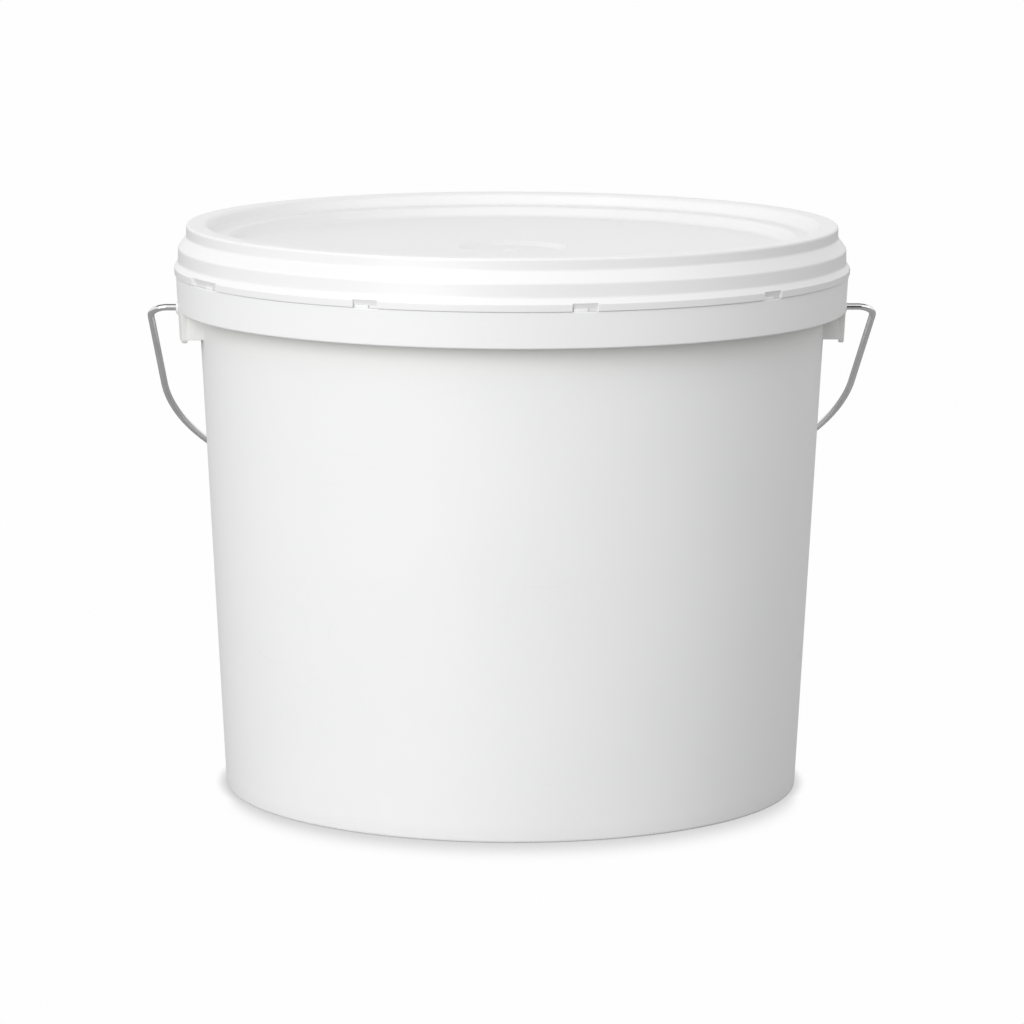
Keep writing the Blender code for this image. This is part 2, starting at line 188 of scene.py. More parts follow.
def start_group(name, kind, inputs, outputs):
    """New node group with named sockets, its input node and its output node."""
    tree = bpy.data.node_groups.new(name, kind)
    for in_out, sockets in (("INPUT", inputs), ("OUTPUT", outputs)):
        for label, socket in sockets.items():
            tree.interface.new_socket(label, in_out=in_out, socket_type="NodeSocket" + socket)
    return tree, tree.nodes.new("NodeGroupInput"), tree.nodes.new("NodeGroupOutput")


print("node helpers ready")

# %% [markdown]
# ## Light, floor and background
# The tub was lit by one large soft lamp from the front left, with pale surroundings filling the
# rest: its left is bright, its right falls to a soft grey, and no edge burns out. The world gives
# the fill and is white only for rays that reach the camera or mirror in the wire, so it does not
# brighten the plastic. The floor is white for the camera alone. In mirrors it stays a plain grey,
# and two dark backdrops, one behind the camera on the right and one overhead, are there for the
# unlit parts of the room: bright wire shows its shape by what it mirrors, and needs both. The floor
# keeps a soft shadow, which an ambient occlusion node finds by looking from each spot of the floor
# back at the tub.

# %% World and floor
FILL_STRENGTH = 0.82
FLOOR_RADIUS = 30.0
FLOOR_SIDES = 96
FLOOR_SINK = 0.00005
FLOOR_GREY = 0.46
SHOWN_WHITE = 0.99            # background and open floor, as the camera sees them
CONTACT_REACH = 0.038         # metres in front of the tub within which the floor darkens
CONTACT_LEAN = 72.0           # degrees from upright at which the floor looks back at the tub
CONTACT_SIDE_REACH = 0.006    # the same at the sides and behind
CONTACT_TURN = -0.30          # how far round from the front, -1, to the side, 0, the reach shrinks
CONTACT_POWER = 3.0           # sharpens the share of hidden sky towards the tub
CONTACT_FULL = 0.30           # sharpened share at which the shadow is deepest
CONTACT_DEEP = 0.60           # how bright the floor still is there
CONTACT_SAMPLES = 16
BACKDROP_BLACK = (0.05, 0.05, 0.05, 1.0)
BACKDROP_WIDTH = 1.4          # metres, to the right of the middle
BACKDROP_START = -0.32        # where it starts in front of the tub
BACKDROP_FOLD = -2.6          # where it turns up, behind the camera
BACKDROP_LIFT = 0.002         # over the floor
BACKDROP_TOP = 1.7
OVERHEAD_HEIGHT = 1.7
OVERHEAD_FRONT = -0.35        # the one overhead reaches from here
OVERHEAD_BACK = 1.2           # to here, over and behind the tub
OVERHEAD_REACH = 1.8          # and this far to both sides


def light_world():
    world = bpy.data.worlds.new("studio")
    world.use_nodes = True
    tree = world.node_tree
    path = place(tree, "ShaderNodeLightPath")
    seen = sum_of(tree, path.outputs["Is Camera Ray"], path.outputs["Is Glossy Ray"])
    strength = remap(tree, seen, 0.0, 1.0, FILL_STRENGTH, SHOWN_WHITE)
    background = tree.nodes["Background"]
    background.inputs["Color"].default_value = (1.0, 1.0, 1.0, 1.0)
    tree.links.new(strength, background.inputs["Strength"])
    return world


def floor_finish():
    material, tree, shader, where = start_finish("pale_floor")
    tree.nodes.remove(shader)
    plain = place(tree, "ShaderNodeBsdfDiffuse", {"Color": (FLOOR_GREY, FLOOR_GREY, FLOOR_GREY, 1.0)})
    lean = math.radians(CONTACT_LEAN)
    outward = reckon_vector(tree, "NORMALIZE", where)
    inward = (-math.sin(lean), -math.sin(lean), 0.0)
    look = reckon_vector(tree, "MULTIPLY_ADD", outward, inward, (0.0, 0.0, math.cos(lean)))
    backward = place(tree, "ShaderNodeSeparateXYZ", {0: outward}).outputs["Y"]
    reach = remap(tree, backward, -1.0, CONTACT_TURN, CONTACT_REACH, CONTACT_SIDE_REACH)
    sockets = {"Distance": reach, "Normal": look}
    open_sky = place(tree, "ShaderNodeAmbientOcclusion", sockets, samples=CONTACT_SAMPLES).outputs["AO"]
    hidden = reckon(tree, "POWER", reckon(tree, "SUBTRACT", 1.0, open_sky), CONTACT_POWER)
    shade = remap(tree, hidden, 0.0, CONTACT_FULL, SHOWN_WHITE, CONTACT_DEEP)
    white = place(tree, "ShaderNodeEmission", {"Color": shade})
    shown = place(tree, "ShaderNodeLightPath").outputs["Is Camera Ray"]
    mixed = place(tree, "ShaderNodeMixShader", {0: shown, 1: plain.outputs[0], 2: white.outputs[0]})
    tree.links.new(mixed.outputs[0], tree.nodes["Material Output"].inputs["Surface"])
    return material


def lay_floor():
    disc = bmesh.new()
    bmesh.ops.create_circle(disc, cap_ends=True, segments=FLOOR_SIDES, radius=FLOOR_RADIUS)
    bmesh.ops.translate(disc, verts=disc.verts, vec=(0.0, 0.0, -FLOOR_SINK))
    mesh = bpy.data.meshes.new("floor")
    disc.to_mesh(mesh)
    disc.free()
    mesh.materials.append(floor_finish())
    made = add_object("floor", mesh)
    return made


def hang_backdrop(name, first_x, last_x, folds):
    """Dark sheet between two x, folded along (y, z) lines, seen in mirrors only."""
    mesh = bpy.data.meshes.new(name)
    corners = [(x, y, z) for y, z in folds for x in (first_x, last_x)]
    faces = [(2 * k, 2 * k + 1, 2 * k + 3, 2 * k + 2) for k in range(len(folds) - 1)]
    mesh.from_pydata(corners, [], faces)
    material, _, shader, _ = start_finish(name)
    shader.inputs["Base Color"].default_value = BACKDROP_BLACK
    mesh.materials.append(material)
    made = add_object(name, mesh)
    for ray in ("camera", "diffuse", "transmission", "shadow"):
        setattr(made, "visible_" + ray, False)


scene.world = light_world()
floor = lay_floor()
low_folds = [(BACKDROP_START, BACKDROP_LIFT), (BACKDROP_FOLD, BACKDROP_LIFT), (BACKDROP_FOLD, BACKDROP_TOP)]
high_folds = [(OVERHEAD_FRONT, OVERHEAD_HEIGHT), (OVERHEAD_BACK, OVERHEAD_HEIGHT)]
hang_backdrop("camera_backdrop", 0.0, BACKDROP_WIDTH, low_folds)
hang_backdrop("overhead_backdrop", -OVERHEAD_REACH, OVERHEAD_REACH, high_folds)
print("floor radius in metres:", FLOOR_RADIUS)

# %% [markdown]
# ## Lamps
# A tall area lamp to the left of the camera is what a soft box does in a studio. A second one, far
# to the right and much weaker, keeps that side from going flat. Both are linked to everything but
# the floor, because the floor's brightness and its shadow are already set.

# %% Lamps
LAMPS = {                     # degrees from the front towards +x, degrees up, watts
    "key_lamp": (-32.5, 18.5, 29.8),
    "side_lamp": (75.0, 35.0, 4.0),
}
LAMP_DISTANCE = 2.2           # metres
LAMP_WIDTH = 1.2
LAMP_HEIGHT = 1.8
LAMP_TARGET = Vector((0.0, 0.0, cad_box[1][2] / 2))


def hang_lamp(name, azimuth, elevation, power):
    """Upright soft lamp on a sphere round the tub, turned towards the tub's middle."""
    lamp = bpy.data.lights.new(name, "AREA")
    lamp.shape = "RECTANGLE"
    lamp.size = LAMP_WIDTH
    lamp.size_y = LAMP_HEIGHT
    lamp.energy = power
    side = math.radians(azimuth)
    rise = math.radians(elevation)
    outward = Vector((math.sin(side) * math.cos(rise), -math.cos(side) * math.cos(rise), math.sin(rise)))
    holder = add_object(name, lamp)
    holder.location = LAMP_TARGET + outward * LAMP_DISTANCE
    holder.rotation_euler = outward.to_track_quat("Z", "Y").to_euler()
    return holder


def spare_floor(holder):
    """Keeps a lamp off the floor, so only the soft shadow of the surroundings lies there."""
    reach = bpy.data.collections.new(holder.name + "_reach")
    reach.objects.link(floor)
    reach.collection_objects[0].light_linking.link_state = "EXCLUDE"
    holder.light_linking.receiver_collection = reach


for lamp_name, lamp_setting in LAMPS.items():
    spare_floor(hang_lamp(lamp_name, *lamp_setting))

# %% [markdown]
# ## The moulded skin
# Tub, lid and grip are all injection moulded. Up close such plastic is never one flat colour: the
# mould leaves a very fine grain, the melt cools unevenly and leaves slow soft waves, and handling
# leaves a few thin rubs. Three finishes need this, so it is one shader node group. It puts out
# three values between 0 and 1, and each finish decides how much of each it shows.

# %% Shader group: moulded skin
GRAIN_DETAIL = 3.0
DRIFT_SPAN = (0.3, 0.7)       # part of the slow noise that is used
RUB_WIDTH = 0.012             # share of a cell's size
RUB_BEND = (0.02, 0.02, 0.02)  # metres by which slow waves bend the rubs
RUB_PLACES = (0.52, 0.68)     # slow noise between which rubs come in


def moulded_skin():
    inputs = {"Vector": "Vector", "Grain Scale": "Float", "Drift Scale": "Float", "Rub Scale": "Float"}
    outputs = {"Grain": "Float", "Drift": "Float", "Rubs": "Float"}
    tree, given, result = start_group("moulded_skin", "ShaderNodeTree", inputs, outputs)
    where = given.outputs["Vector"]
    grain = noise(tree, where, given.outputs["Grain Scale"], GRAIN_DETAIL).outputs["Fac"]
    drift = noise(tree, where, given.outputs["Drift Scale"])
    bent = reckon_vector(tree, "MULTIPLY_ADD", drift.outputs["Color"], RUB_BEND, where)
    sockets = {"Vector": bent, "Scale": given.outputs["Rub Scale"]}
    cells = place(tree, "ShaderNodeTexVoronoi", sockets, feature="DISTANCE_TO_EDGE")
    thin = remap(tree, cells.outputs["Distance"], 0.0, RUB_WIDTH, 1.0, 0.0)
    sparse = share_of(tree, drift.outputs["Fac"], RUB_PLACES)
    tree.links.new(grain, result.inputs["Grain"])
    tree.links.new(share_of(tree, drift.outputs["Fac"], DRIFT_SPAN), result.inputs["Drift"])
    tree.links.new(product(tree, thin, sparse), result.inputs["Rubs"])
    return tree


MOULDED_SKIN = moulded_skin()
print("group:", MOULDED_SKIN.name, [socket.name for socket in MOULDED_SKIN.interface.items_tree])

# %% [markdown]
# ## Plastic finishes
# White polypropylene is a satin plastic: it scatters most of the light, and shows the lamp only as
# a soft bright band. Body and lid are nearly the same white, but the lid is moulded a little
# glossier so that it wipes clean. The low edge of the tub, which is pushed over floors, is rubbed
# a little greyer. The wall just under the collar gets most of its light from the plastic round it,
# and that warm bounce light is painted into its colour as a warmer tint. All of them are one
# function with its own values.

# %% Plastic finishes
WHITE = (0.812, 0.812, 0.817, 1.0)
WHITE_SHADE = (0.799, 0.800, 0.804, 1.0)
PAINTED_BOUNCE_WHITE = (0.802, 0.803, 0.778, 1.0)
PAINTED_BOUNCE_SPAN = (0.186, 0.198)  # heights between which the painted warm bounce light comes in
PAINTED_BOUNCE_END = (0.2002, 0.2007)  # and back, just under the collar's lower edge
LID_WHITE = (0.790, 0.790, 0.790, 1.0)
LID_SHADE = (0.782, 0.782, 0.781, 1.0)
GRIP_WHITE = (0.78, 0.78, 0.77, 1.0)
GRIP_SHADE = (0.75, 0.75, 0.735, 1.0)
RUB_GREY = (0.62, 0.62, 0.60, 1.0)
RUB_SHARE = 0.10
FOOT_RUB_HEIGHT = 0.007
FOOT_RUB_SHARE = 0.35
BODY_SHINE = 0.25
PLAIN_SHINE = 0.5
BODY_ROUGH = (0.40, 0.52)     # smoothest and roughest
LID_ROUGH = (0.30, 0.38)
GRIP_ROUGH = (0.48, 0.62)
BODY_RELIEF = 0.00008         # metres
LID_RELIEF = 0.00003
GRIP_RELIEF = 0.00012
SKIN_SCALES = {"Grain Scale": 1500.0, "Drift Scale": 16.0, "Rub Scale": 60.0}
GRAIN_SPAN = (0.2, 0.8)       # part of the grain's noise that is used
DRIFT_SWELL = 4.0             # height of the slow waves, in heights of the grain
SKIN_BUMP = 0.3


def join_finish(tree, shader, colour, roughness, height, strength, depth):
    """Links colour, roughness and a bump of some depth in metres to a shader."""
    sockets = {"Height": height, "Strength": strength, "Distance": depth}
    bump = place(tree, "ShaderNodeBump", sockets)
    tree.links.new(colour, shader.inputs["Base Color"])
    tree.links.new(roughness, shader.inputs["Roughness"])
    tree.links.new(bump.outputs[0], shader.inputs["Normal"])


def moulded_plastic(name, colour, shade, rough, relief, shine=PLAIN_SHINE, on_tub=False):
    """Satin plastic with grain, slow waves, thin rubs and, on the tub, painted warm bounce light under the
    collar and a rubbed foot.
    """
    material, tree, shader, where = start_finish(name)
    shader.inputs["Specular IOR Level"].default_value = shine
    skin = place(tree, "ShaderNodeGroup", {"Vector": where, **SKIN_SCALES}, node_tree=MOULDED_SKIN)
    tinted = blend_colours(tree, skin.outputs["Drift"], colour, shade)
    rubs = product(tree, skin.outputs["Rubs"], RUB_SHARE)
    if on_tub:
        level = place(tree, "ShaderNodeSeparateXYZ", {0: where}).outputs["Z"]
        # painted warm bounce light: the wall just under the collar's lower edge is tinted warmer
        above = share_of(tree, level, PAINTED_BOUNCE_SPAN)
        below = remap(tree, level, *PAINTED_BOUNCE_END, 1.0, 0.0)
        tinted = blend_colours(tree, product(tree, above, below), tinted, PAINTED_BOUNCE_WHITE)
        low = remap(tree, level, 0.0, FOOT_RUB_HEIGHT, FOOT_RUB_SHARE, 0.0)
        rubs = sum_of(tree, rubs, product(tree, low, skin.outputs["Grain"]))
    final = blend_colours(tree, rubs, tinted, RUB_GREY)
    roughness = remap(tree, skin.outputs["Grain"], *GRAIN_SPAN, *rough)
    height = sum_of(tree, skin.outputs["Grain"], product(tree, skin.outputs["Drift"], DRIFT_SWELL))
    join_finish(tree, shader, final, roughness, height, SKIN_BUMP, relief)
    return material


BODY_PLASTIC = moulded_plastic("body_plastic", WHITE, WHITE_SHADE, BODY_ROUGH, BODY_RELIEF, BODY_SHINE, True)
LID_PLASTIC = moulded_plastic("lid_plastic", LID_WHITE, LID_SHADE, LID_ROUGH, LID_RELIEF)
GRIP_PLASTIC = moulded_plastic("grip_plastic", GRIP_WHITE, GRIP_SHADE, GRIP_ROUGH, GRIP_RELIEF)
print("plastics:", BODY_PLASTIC.name, LID_PLASTIC.name, GRIP_PLASTIC.name)

# %% [markdown]
# ## Steel, rubber and coating
# The bail is drawn steel wire with a thin bright plating: nearly a mirror, but grey, with a soft
# blur from the drawing die. Seen at a flat angle, its colour is painted darker: a painted reflection
# of dark surroundings along its edges. The gasket is a soft foamed rubber with open pores. The
# coating is a thick liquid that has levelled out: grey, wet and glossy, with pale streaks where
# filler has not quite stirred in. Its colour cannot be seen from outside, so a common grey is used.
# Each finish picks a part of a noise by its span, and carries it to a share of a second colour and
# to a range of roughness.

# %% Steel, rubber and coating finishes
STEEL = (0.92, 0.92, 0.925, 1.0)
STEEL_DARK = (0.80, 0.80, 0.81, 1.0)
# painted reflection: the colour the wire darkens to at its edges, for the dark surroundings it mirrors
STEEL_PAINTED_EDGE_REFLECTION = (0.30, 0.30, 0.31, 1.0)
PAINTED_EDGE_SPAN = (0.60, 0.95)      # facing share between which the painted dark edge reflection comes in
WEAR_SCALE = 45.0
WEAR_SPAN = (0.40, 0.62)
DIE_GRAIN_SCALE = 1800.0
DIE_GRAIN_BUMP = 0.06
DIE_GRAIN_DEPTH = 0.00003     # metres
STEEL_ROUGH = (0.08, 0.16)
RUBBER = (0.055, 0.057, 0.060, 1.0)
RUBBER_DUST = (0.11, 0.11, 0.11, 1.0)
DUST_SCALE = 60.0
DUST_DETAIL = 3.0
DUST_SPAN = (0.45, 0.75)
DUST_SHARE = 0.8
PORE_SCALE = 1400.0
PORE_BUMP = 0.5
PORE_DEPTH = 0.0002
RUBBER_ROUGH = (0.68, 0.86)
COATING = (0.30, 0.32, 0.34, 1.0)
COATING_STREAK = (0.40, 0.42, 0.435, 1.0)
STREAK_SCALE = 22.0
STREAK_DETAIL = 4.0
STREAK_SWIRL = 2.2
STREAK_SPAN = (0.42, 0.66)
STREAK_BUMP = 0.35
STREAK_DEPTH = 0.0015
FILLER_SCALE = 420.0
COATING_ROUGH = (0.16, 0.30)
ALONG = "along"               # attribute on the wire: distance from its end


def plated_steel():
    material, tree, shader, where = start_finish("wire_steel")
    shader.inputs["Metallic"].default_value = 1.0
    along = place(tree, "ShaderNodeAttribute", attribute_name=ALONG).outputs["Fac"]
    slow = place(tree, "ShaderNodeTexNoise", {"Scale": WEAR_SCALE}, noise_dimensions="1D")
    tree.links.new(along, slow.inputs["W"])
    fine = noise(tree, where, DIE_GRAIN_SCALE).outputs["Fac"]
    mean = product(tree, sum_of(tree, slow.outputs["Fac"], fine), 0.5)
    worn = share_of(tree, mean, WEAR_SPAN)
    grey = blend_colours(tree, worn, STEEL, STEEL_DARK)
    # painted reflection: the colour turns darker towards the wire's edges
    facing = place(tree, "ShaderNodeLayerWeight", {"Blend": 0.5}).outputs["Facing"]
    colour = blend_colours(tree, share_of(tree, facing, PAINTED_EDGE_SPAN), grey, STEEL_PAINTED_EDGE_REFLECTION)
    roughness = remap(tree, worn, 0.0, 1.0, *STEEL_ROUGH)
    join_finish(tree, shader, colour, roughness, fine, DIE_GRAIN_BUMP, DIE_GRAIN_DEPTH)
    return material


def foamed_rubber():
    material, tree, shader, where = start_finish("gasket_rubber")
    pores = place(tree, "ShaderNodeTexVoronoi", {"Vector": where, "Scale": PORE_SCALE}).outputs["Distance"]
    dust = noise(tree, where, DUST_SCALE, DUST_DETAIL).outputs["Fac"]
    colour = blend_colours(tree, remap(tree, dust, *DUST_SPAN, 0.0, DUST_SHARE), RUBBER, RUBBER_DUST)
    roughness = remap(tree, dust, *DRIFT_SPAN, *RUBBER_ROUGH)
    join_finish(tree, shader, colour, roughness, pores, PORE_BUMP, PORE_DEPTH)
    return material


def wet_coating():
    material, tree, shader, where = start_finish("coating")
    streaks = noise(tree, where, STREAK_SCALE, STREAK_DETAIL, STREAK_SWIRL).outputs["Fac"]
    filler = noise(tree, where, FILLER_SCALE).outputs["Fac"]
    colour = blend_colours(tree, share_of(tree, streaks, STREAK_SPAN), COATING, COATING_STREAK)
    roughness = remap(tree, filler, *DRIFT_SPAN, *COATING_ROUGH)
    join_finish(tree, shader, colour, roughness, streaks, STREAK_BUMP, STREAK_DEPTH)
    return material


WIRE_STEEL = plated_steel()
GASKET_RUBBER = foamed_rubber()
COATING_WET = wet_coating()
print("finishes:", WIRE_STEEL.name, GASKET_RUBBER.name, COATING_WET.name)

# %% [markdown]
# ## Outlines with soft corners
# Almost everything here is turned: one outline carried round the axis. An outline is written as
# corners, each with its radius from the axis, its height and how far its rounding reaches along
# both edges. A moulded edge is never sharp, and on a white tub those roundings are what the eye
# reads, because they catch the light. The helper draws each corner as a smooth curve, with one
# extra point just before and after it, which keeps the flat stretch between two corners flat when
# the mesh is shaded smooth.

# %% Outline helper
MM = 0.001
KEEN = 0.2 * MM               # the usual roundings, from the smallest
CRISP = 0.4 * MM
SOFT = 0.6 * MM
BROAD = 0.8 * MM
CORNER_STEPS = 4
HOLD = 0.5 * MM               # how far outside a rounding its holding points lie
REACH_SHARE = 0.45            # most of an edge that one rounding may take
HOLD_SHARE = 0.04             # most of an edge that lies between the two


def outline(corners, closed=False):
    """Points of an outline, in metres, from corners given as (radius, height, rounding)."""
    spots = [Vector((radius, height)) for radius, height, _ in corners]
    points = []
    for k, spot in enumerate(spots):
        back = spots[k - 1] - spot
        ahead = spots[(k + 1) % len(spots)] - spot
        shorter = min(back.length, ahead.length)
        reach = min(corners[k][2], REACH_SHARE * shorter)
        hold = min(HOLD, HOLD_SHARE * shorter)
        if not reach:
            points.append(spot)
            continue
        start = spot + back.normalized() * reach
        end = spot + ahead.normalized() * reach
        points.append(start + back.normalized() * hold)
        for step in range(CORNER_STEPS + 1):
            t = step / CORNER_STEPS
            points.append((1 - t) ** 2 * start + 2 * t * (1 - t) * spot + t ** 2 * end)
        points.append(end + ahead.normalized() * hold)
    return points + points[:1] if closed else points


def points_object(name, points):
    """Mesh object that holds points joined one after another."""
    mesh = bpy.data.meshes.new(name)
    mesh.from_pydata([tuple(point) for point in points], [(k, k + 1) for k in range(len(points) - 1)], [])
    return add_object(name, mesh)


def outline_object(name, corners, closed):
    return points_object(name, [(point.x, 0.0, point.y) for point in outline(corners, closed)])


print("points on one rounded corner:", CORNER_STEPS + 3)

# %% [markdown]
# ## Turning an outline with Geometry Nodes
# A lathe tool or the Screw modifier turns one outline. The tub and the lid need more: the collar
# hangs lower at the two ears, and the lid's bead is cut away at its notches. So this tree takes
# two outlines with the same number of points, and a row of marks round the turn. Each mark gives
# an angle and a share, 0 for the plain outline and 1 for the other. A grid has one column for each
# mark and one row for each point. Every grid point looks up its place on both outlines, mixes them
# by its column's share, and is turned to its column's angle.

# %% Geometry Nodes: turned shell
WELD = 2e-6                   # metres within which points are one
HALF_INDEX = 0.0005           # keeps a whole column number from being rounded down


def turned_shell():
    inputs = {"Outline": "Geometry", "Other Outline": "Object", "Turn Marks": "Object", "Finish": "Material"}
    tree, given, result = start_group("turned_shell", "GeometryNodeTree", inputs, {"Shell": "Geometry"})
    position = place(tree, "GeometryNodeInputPosition").outputs[0]
    index = place(tree, "GeometryNodeInputIndex").outputs[0]

    def shape_of(name):
        return place(tree, "GeometryNodeObjectInfo", {"Object": given.outputs[name]}).outputs["Geometry"]

    def count_of(geometry):
        return place(tree, "GeometryNodeAttributeDomainSize", {"Geometry": geometry}).outputs["Point Count"]

    def look_up(geometry, at):
        sampler = place(tree, "GeometryNodeSampleIndex", data_type="FLOAT_VECTOR")
        tree.links.new(geometry, sampler.inputs["Geometry"])
        tree.links.new(position, sampler.inputs["Value"])
        tree.links.new(at, sampler.inputs["Index"])
        return sampler.outputs["Value"]

    plain = given.outputs["Outline"]
    marks = shape_of("Turn Marks")
    rows = count_of(plain)
    grid = place(tree, "GeometryNodeMeshGrid", {"Vertices X": count_of(marks), "Vertices Y": rows})
    row = reckon(tree, "MODULO", index, rows)
    column = reckon(tree, "FLOOR", sum_of(tree, reckon(tree, "DIVIDE", index, rows), HALF_INDEX))
    here = look_up(plain, row)
    there = look_up(shape_of("Other Outline"), row)
    mark = place(tree, "ShaderNodeSeparateXYZ", {0: look_up(marks, column)})
    away = reckon_vector(tree, "SUBTRACT", there, here)
    spot = reckon_vector(tree, "MULTIPLY_ADD", away, mark.outputs["Y"], here)
    sockets = {"Vector": spot, "Angle": mark.outputs["X"]}
    turned = place(tree, "ShaderNodeVectorRotate", sockets, rotation_type="Z_AXIS").outputs[0]
    shell = place(tree, "GeometryNodeSetPosition", {"Geometry": grid.outputs["Mesh"], "Position": turned})
    closed = place(tree, "GeometryNodeMergeByDistance", {"Geometry": shell.outputs[0], "Distance": WELD})
    end_tree(tree, closed.outputs[0], given.outputs["Finish"], result.inputs["Shell"])
    return tree


def end_tree(tree, geometry, finish, output):
    """Last nodes of every tree: smooth shading, real meshes, and the finish."""
    smooth = place(tree, "GeometryNodeSetShadeSmooth", {"Geometry": geometry})
    real = place(tree, "GeometryNodeRealizeInstances", {"Geometry": smooth.outputs[0]})
    dressed = place(tree, "GeometryNodeSetMaterial", {"Geometry": real.outputs[0], "Material": finish})
    tree.links.new(dressed.outputs[0], output)


TURNED_SHELL = turned_shell()
print("tree:", TURNED_SHELL.name, "with", len(TURNED_SHELL.nodes), "nodes")

# %% Running a tree
SHARP_ANGLE = math.radians(50.0)
FRONT = math.radians(-90.0)   # a mark at 0 degrees faces the front
EVEN_STEP = 1.5               # degrees between marks where nothing happens


def keep_result(piece, modifier):
    """Puts a modifier's result into the object as a plain mesh and removes the modifier."""
    bpy.context.view_layer.update()
    graph = bpy.context.evaluated_depsgraph_get()
    mesh = bpy.data.meshes.new_from_object(piece.evaluated_get(graph))
    piece.modifiers.remove(modifier)
    piece.data = mesh
    mesh.name = piece.name
    mesh.set_sharp_from_angle(angle=SHARP_ANGLE)


def run_tree(piece, tree, values):
    """Runs a node tree on an object, with inputs set by their sockets' identifiers."""
    modifier = piece.modifiers.new(tree.name, "NODES")
    modifier.node_group = tree
    for item in tree.interface.items_tree:
        if item.in_out == "INPUT" and item.name in values:
            modifier[item.identifier] = values[item.name]
    keep_result(piece, modifier)


def even_angles(step=EVEN_STEP):
    count = round(360.0 / step)
    return [-180.0 + 360.0 * k / count for k in range(count + 1)]


def no_share(angle):
    return 0.0


def turn(name, finish, corners, other=None, angles=None, share=no_share, closed=False):
    """Turned piece from one outline, or from two that are mixed round the turn."""
    piece = outline_object(name, corners, closed)
    marks = [(FRONT + math.radians(angle), share(angle), 0.0) for angle in angles or even_angles()]
    values = {"Finish": finish, "Turn Marks": points_object(name + "_marks", marks)}
    if other:
        values["Other Outline"] = outline_object(name + "_other", other, closed)
    run_tree(piece, TURNED_SHELL, values)
    for guide in values.values():
        if isinstance(guide, bpy.types.Object):
            bpy.data.objects.remove(guide)
    print(name, "has", len(piece.data.polygons), "faces")
    return piece


# %% [markdown]
# ## The tub
# The tub is one moulding: a floor raised inside a foot ring, a wall that widens upwards so that
# tubs nest, a deep collar that stiffens it, and a beaded rim that the lid snaps over. At the two
# ears the collar hangs lower, to carry the wire. The two outlines differ only in the collar's
# lower edge. At an ear's sides the share jumps and then follows a quarter circle, which
# rounds the ear's lower corners.

# %% Tub sizes
FOOT_RADIUS = 119.6 * MM
WALL_SPREAD = 10.2 * MM
NECK_Z = joints["bail_swing"]["pos_m"][2]
COLLAR_TOP = 215.0 * MM
COLLAR_WALL = 2.2 * MM
COLLAR_FLARE = 0.8 * MM
FLANGE = 2.2 * MM
WALL = 1.8 * MM
FLOOR_RISE = 4.5 * MM
FLOOR_TOP = 6.5 * MM
FOOT_WIDTH = 5.0 * MM
FOOT_ROUND = 1.0 * MM
FLOOR_ROUND = 1.5 * MM
SHELF_ROUND = 1.2 * MM
SKIRT_ROUND = 0.7 * MM
SKIRT_INNER_ROUND = 0.5 * MM
RIM_NECK_ROUND = 0.5 * MM
RIM_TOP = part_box("tub_body")[1].z
RIM_BEAD_RADIUS = 133.0 * MM
RIM_BEAD_HEIGHT = 3.0 * MM
EAR_FACE = 138.5 * MM
EAR_BOTTOM = 187.8 * MM
GAP = 0.3 * MM                # between pieces that touch


def wall_radius(z):
    """Outer radius of the tapered wall at a height."""
    return FOOT_RADIUS + WALL_SPREAD * z / NECK_Z


def collar_radius(z):
    """Outer radius of the collar, and of the ears that carry it on downwards."""
    return EAR_FACE + COLLAR_FLARE * (z - NECK_Z) / (COLLAR_TOP - NECK_Z)


def tub_corners(skirt_z):
    """Outline of the tub, with the collar's lower edge at the height asked."""
    foot_in = FOOT_RADIUS - FOOT_ROUND - FOOT_WIDTH
    shelf = COLLAR_TOP - FLANGE
    bead_low = RIM_TOP - RIM_BEAD_HEIGHT
    bead_run = RIM_BEAD_RADIUS - wall_radius(bead_low)
    return [
        (0.0, FLOOR_RISE, 0.0),
        (foot_in - FLOOR_RISE / 2, FLOOR_RISE, FLOOR_ROUND),
        (foot_in, 0.0, SOFT),
        (FOOT_RADIUS, 0.0, FOOT_ROUND),
        (wall_radius(shelf), shelf, SHELF_ROUND),
        (collar_radius(shelf) - COLLAR_WALL, shelf, BROAD),
        (collar_radius(skirt_z) - COLLAR_WALL, skirt_z, SKIRT_INNER_ROUND),
        (collar_radius(skirt_z), skirt_z, SKIRT_ROUND),
        (collar_radius(COLLAR_TOP), COLLAR_TOP, CRISP),
        (wall_radius(COLLAR_TOP), COLLAR_TOP, BROAD),
        (wall_radius(bead_low - bead_run), bead_low - bead_run, RIM_NECK_ROUND),
        (RIM_BEAD_RADIUS, bead_low, SOFT),
        (RIM_BEAD_RADIUS, RIM_TOP - RIM_BEAD_HEIGHT / 2, SOFT),
        (wall_radius(RIM_TOP), RIM_TOP, SOFT),
        (wall_radius(RIM_TOP) - WALL, RIM_TOP, SOFT),
        (wall_radius(FLOOR_TOP) - WALL, FLOOR_TOP, FOOT_ROUND),
        (0.0, FLOOR_TOP, 0.0),
    ]


print("collar depth in millimetres:", round((COLLAR_TOP - NECK_Z) / MM, 1))

# %% Tub shell
EAR_HALF_WIDTH = 22.5 * MM
EAR_CORNER = 2.5 * MM
EAR_SIDE_STEP = 0.12 * MM
EAR_ROUND_STEPS = 6
EAR_MIDDLES = (-90.0, 90.0)
EAR_HALF_ANGLE = math.degrees(math.asin(EAR_HALF_WIDTH / EAR_FACE))
EAR_DROP = NECK_Z - EAR_BOTTOM


def inside_ear(angle):
    """Distance along the collar from the nearest ear's side to an angle, positive inside the ear."""
    return max(math.radians(EAR_HALF_ANGLE - abs(angle - middle)) * EAR_FACE for middle in EAR_MIDDLES)


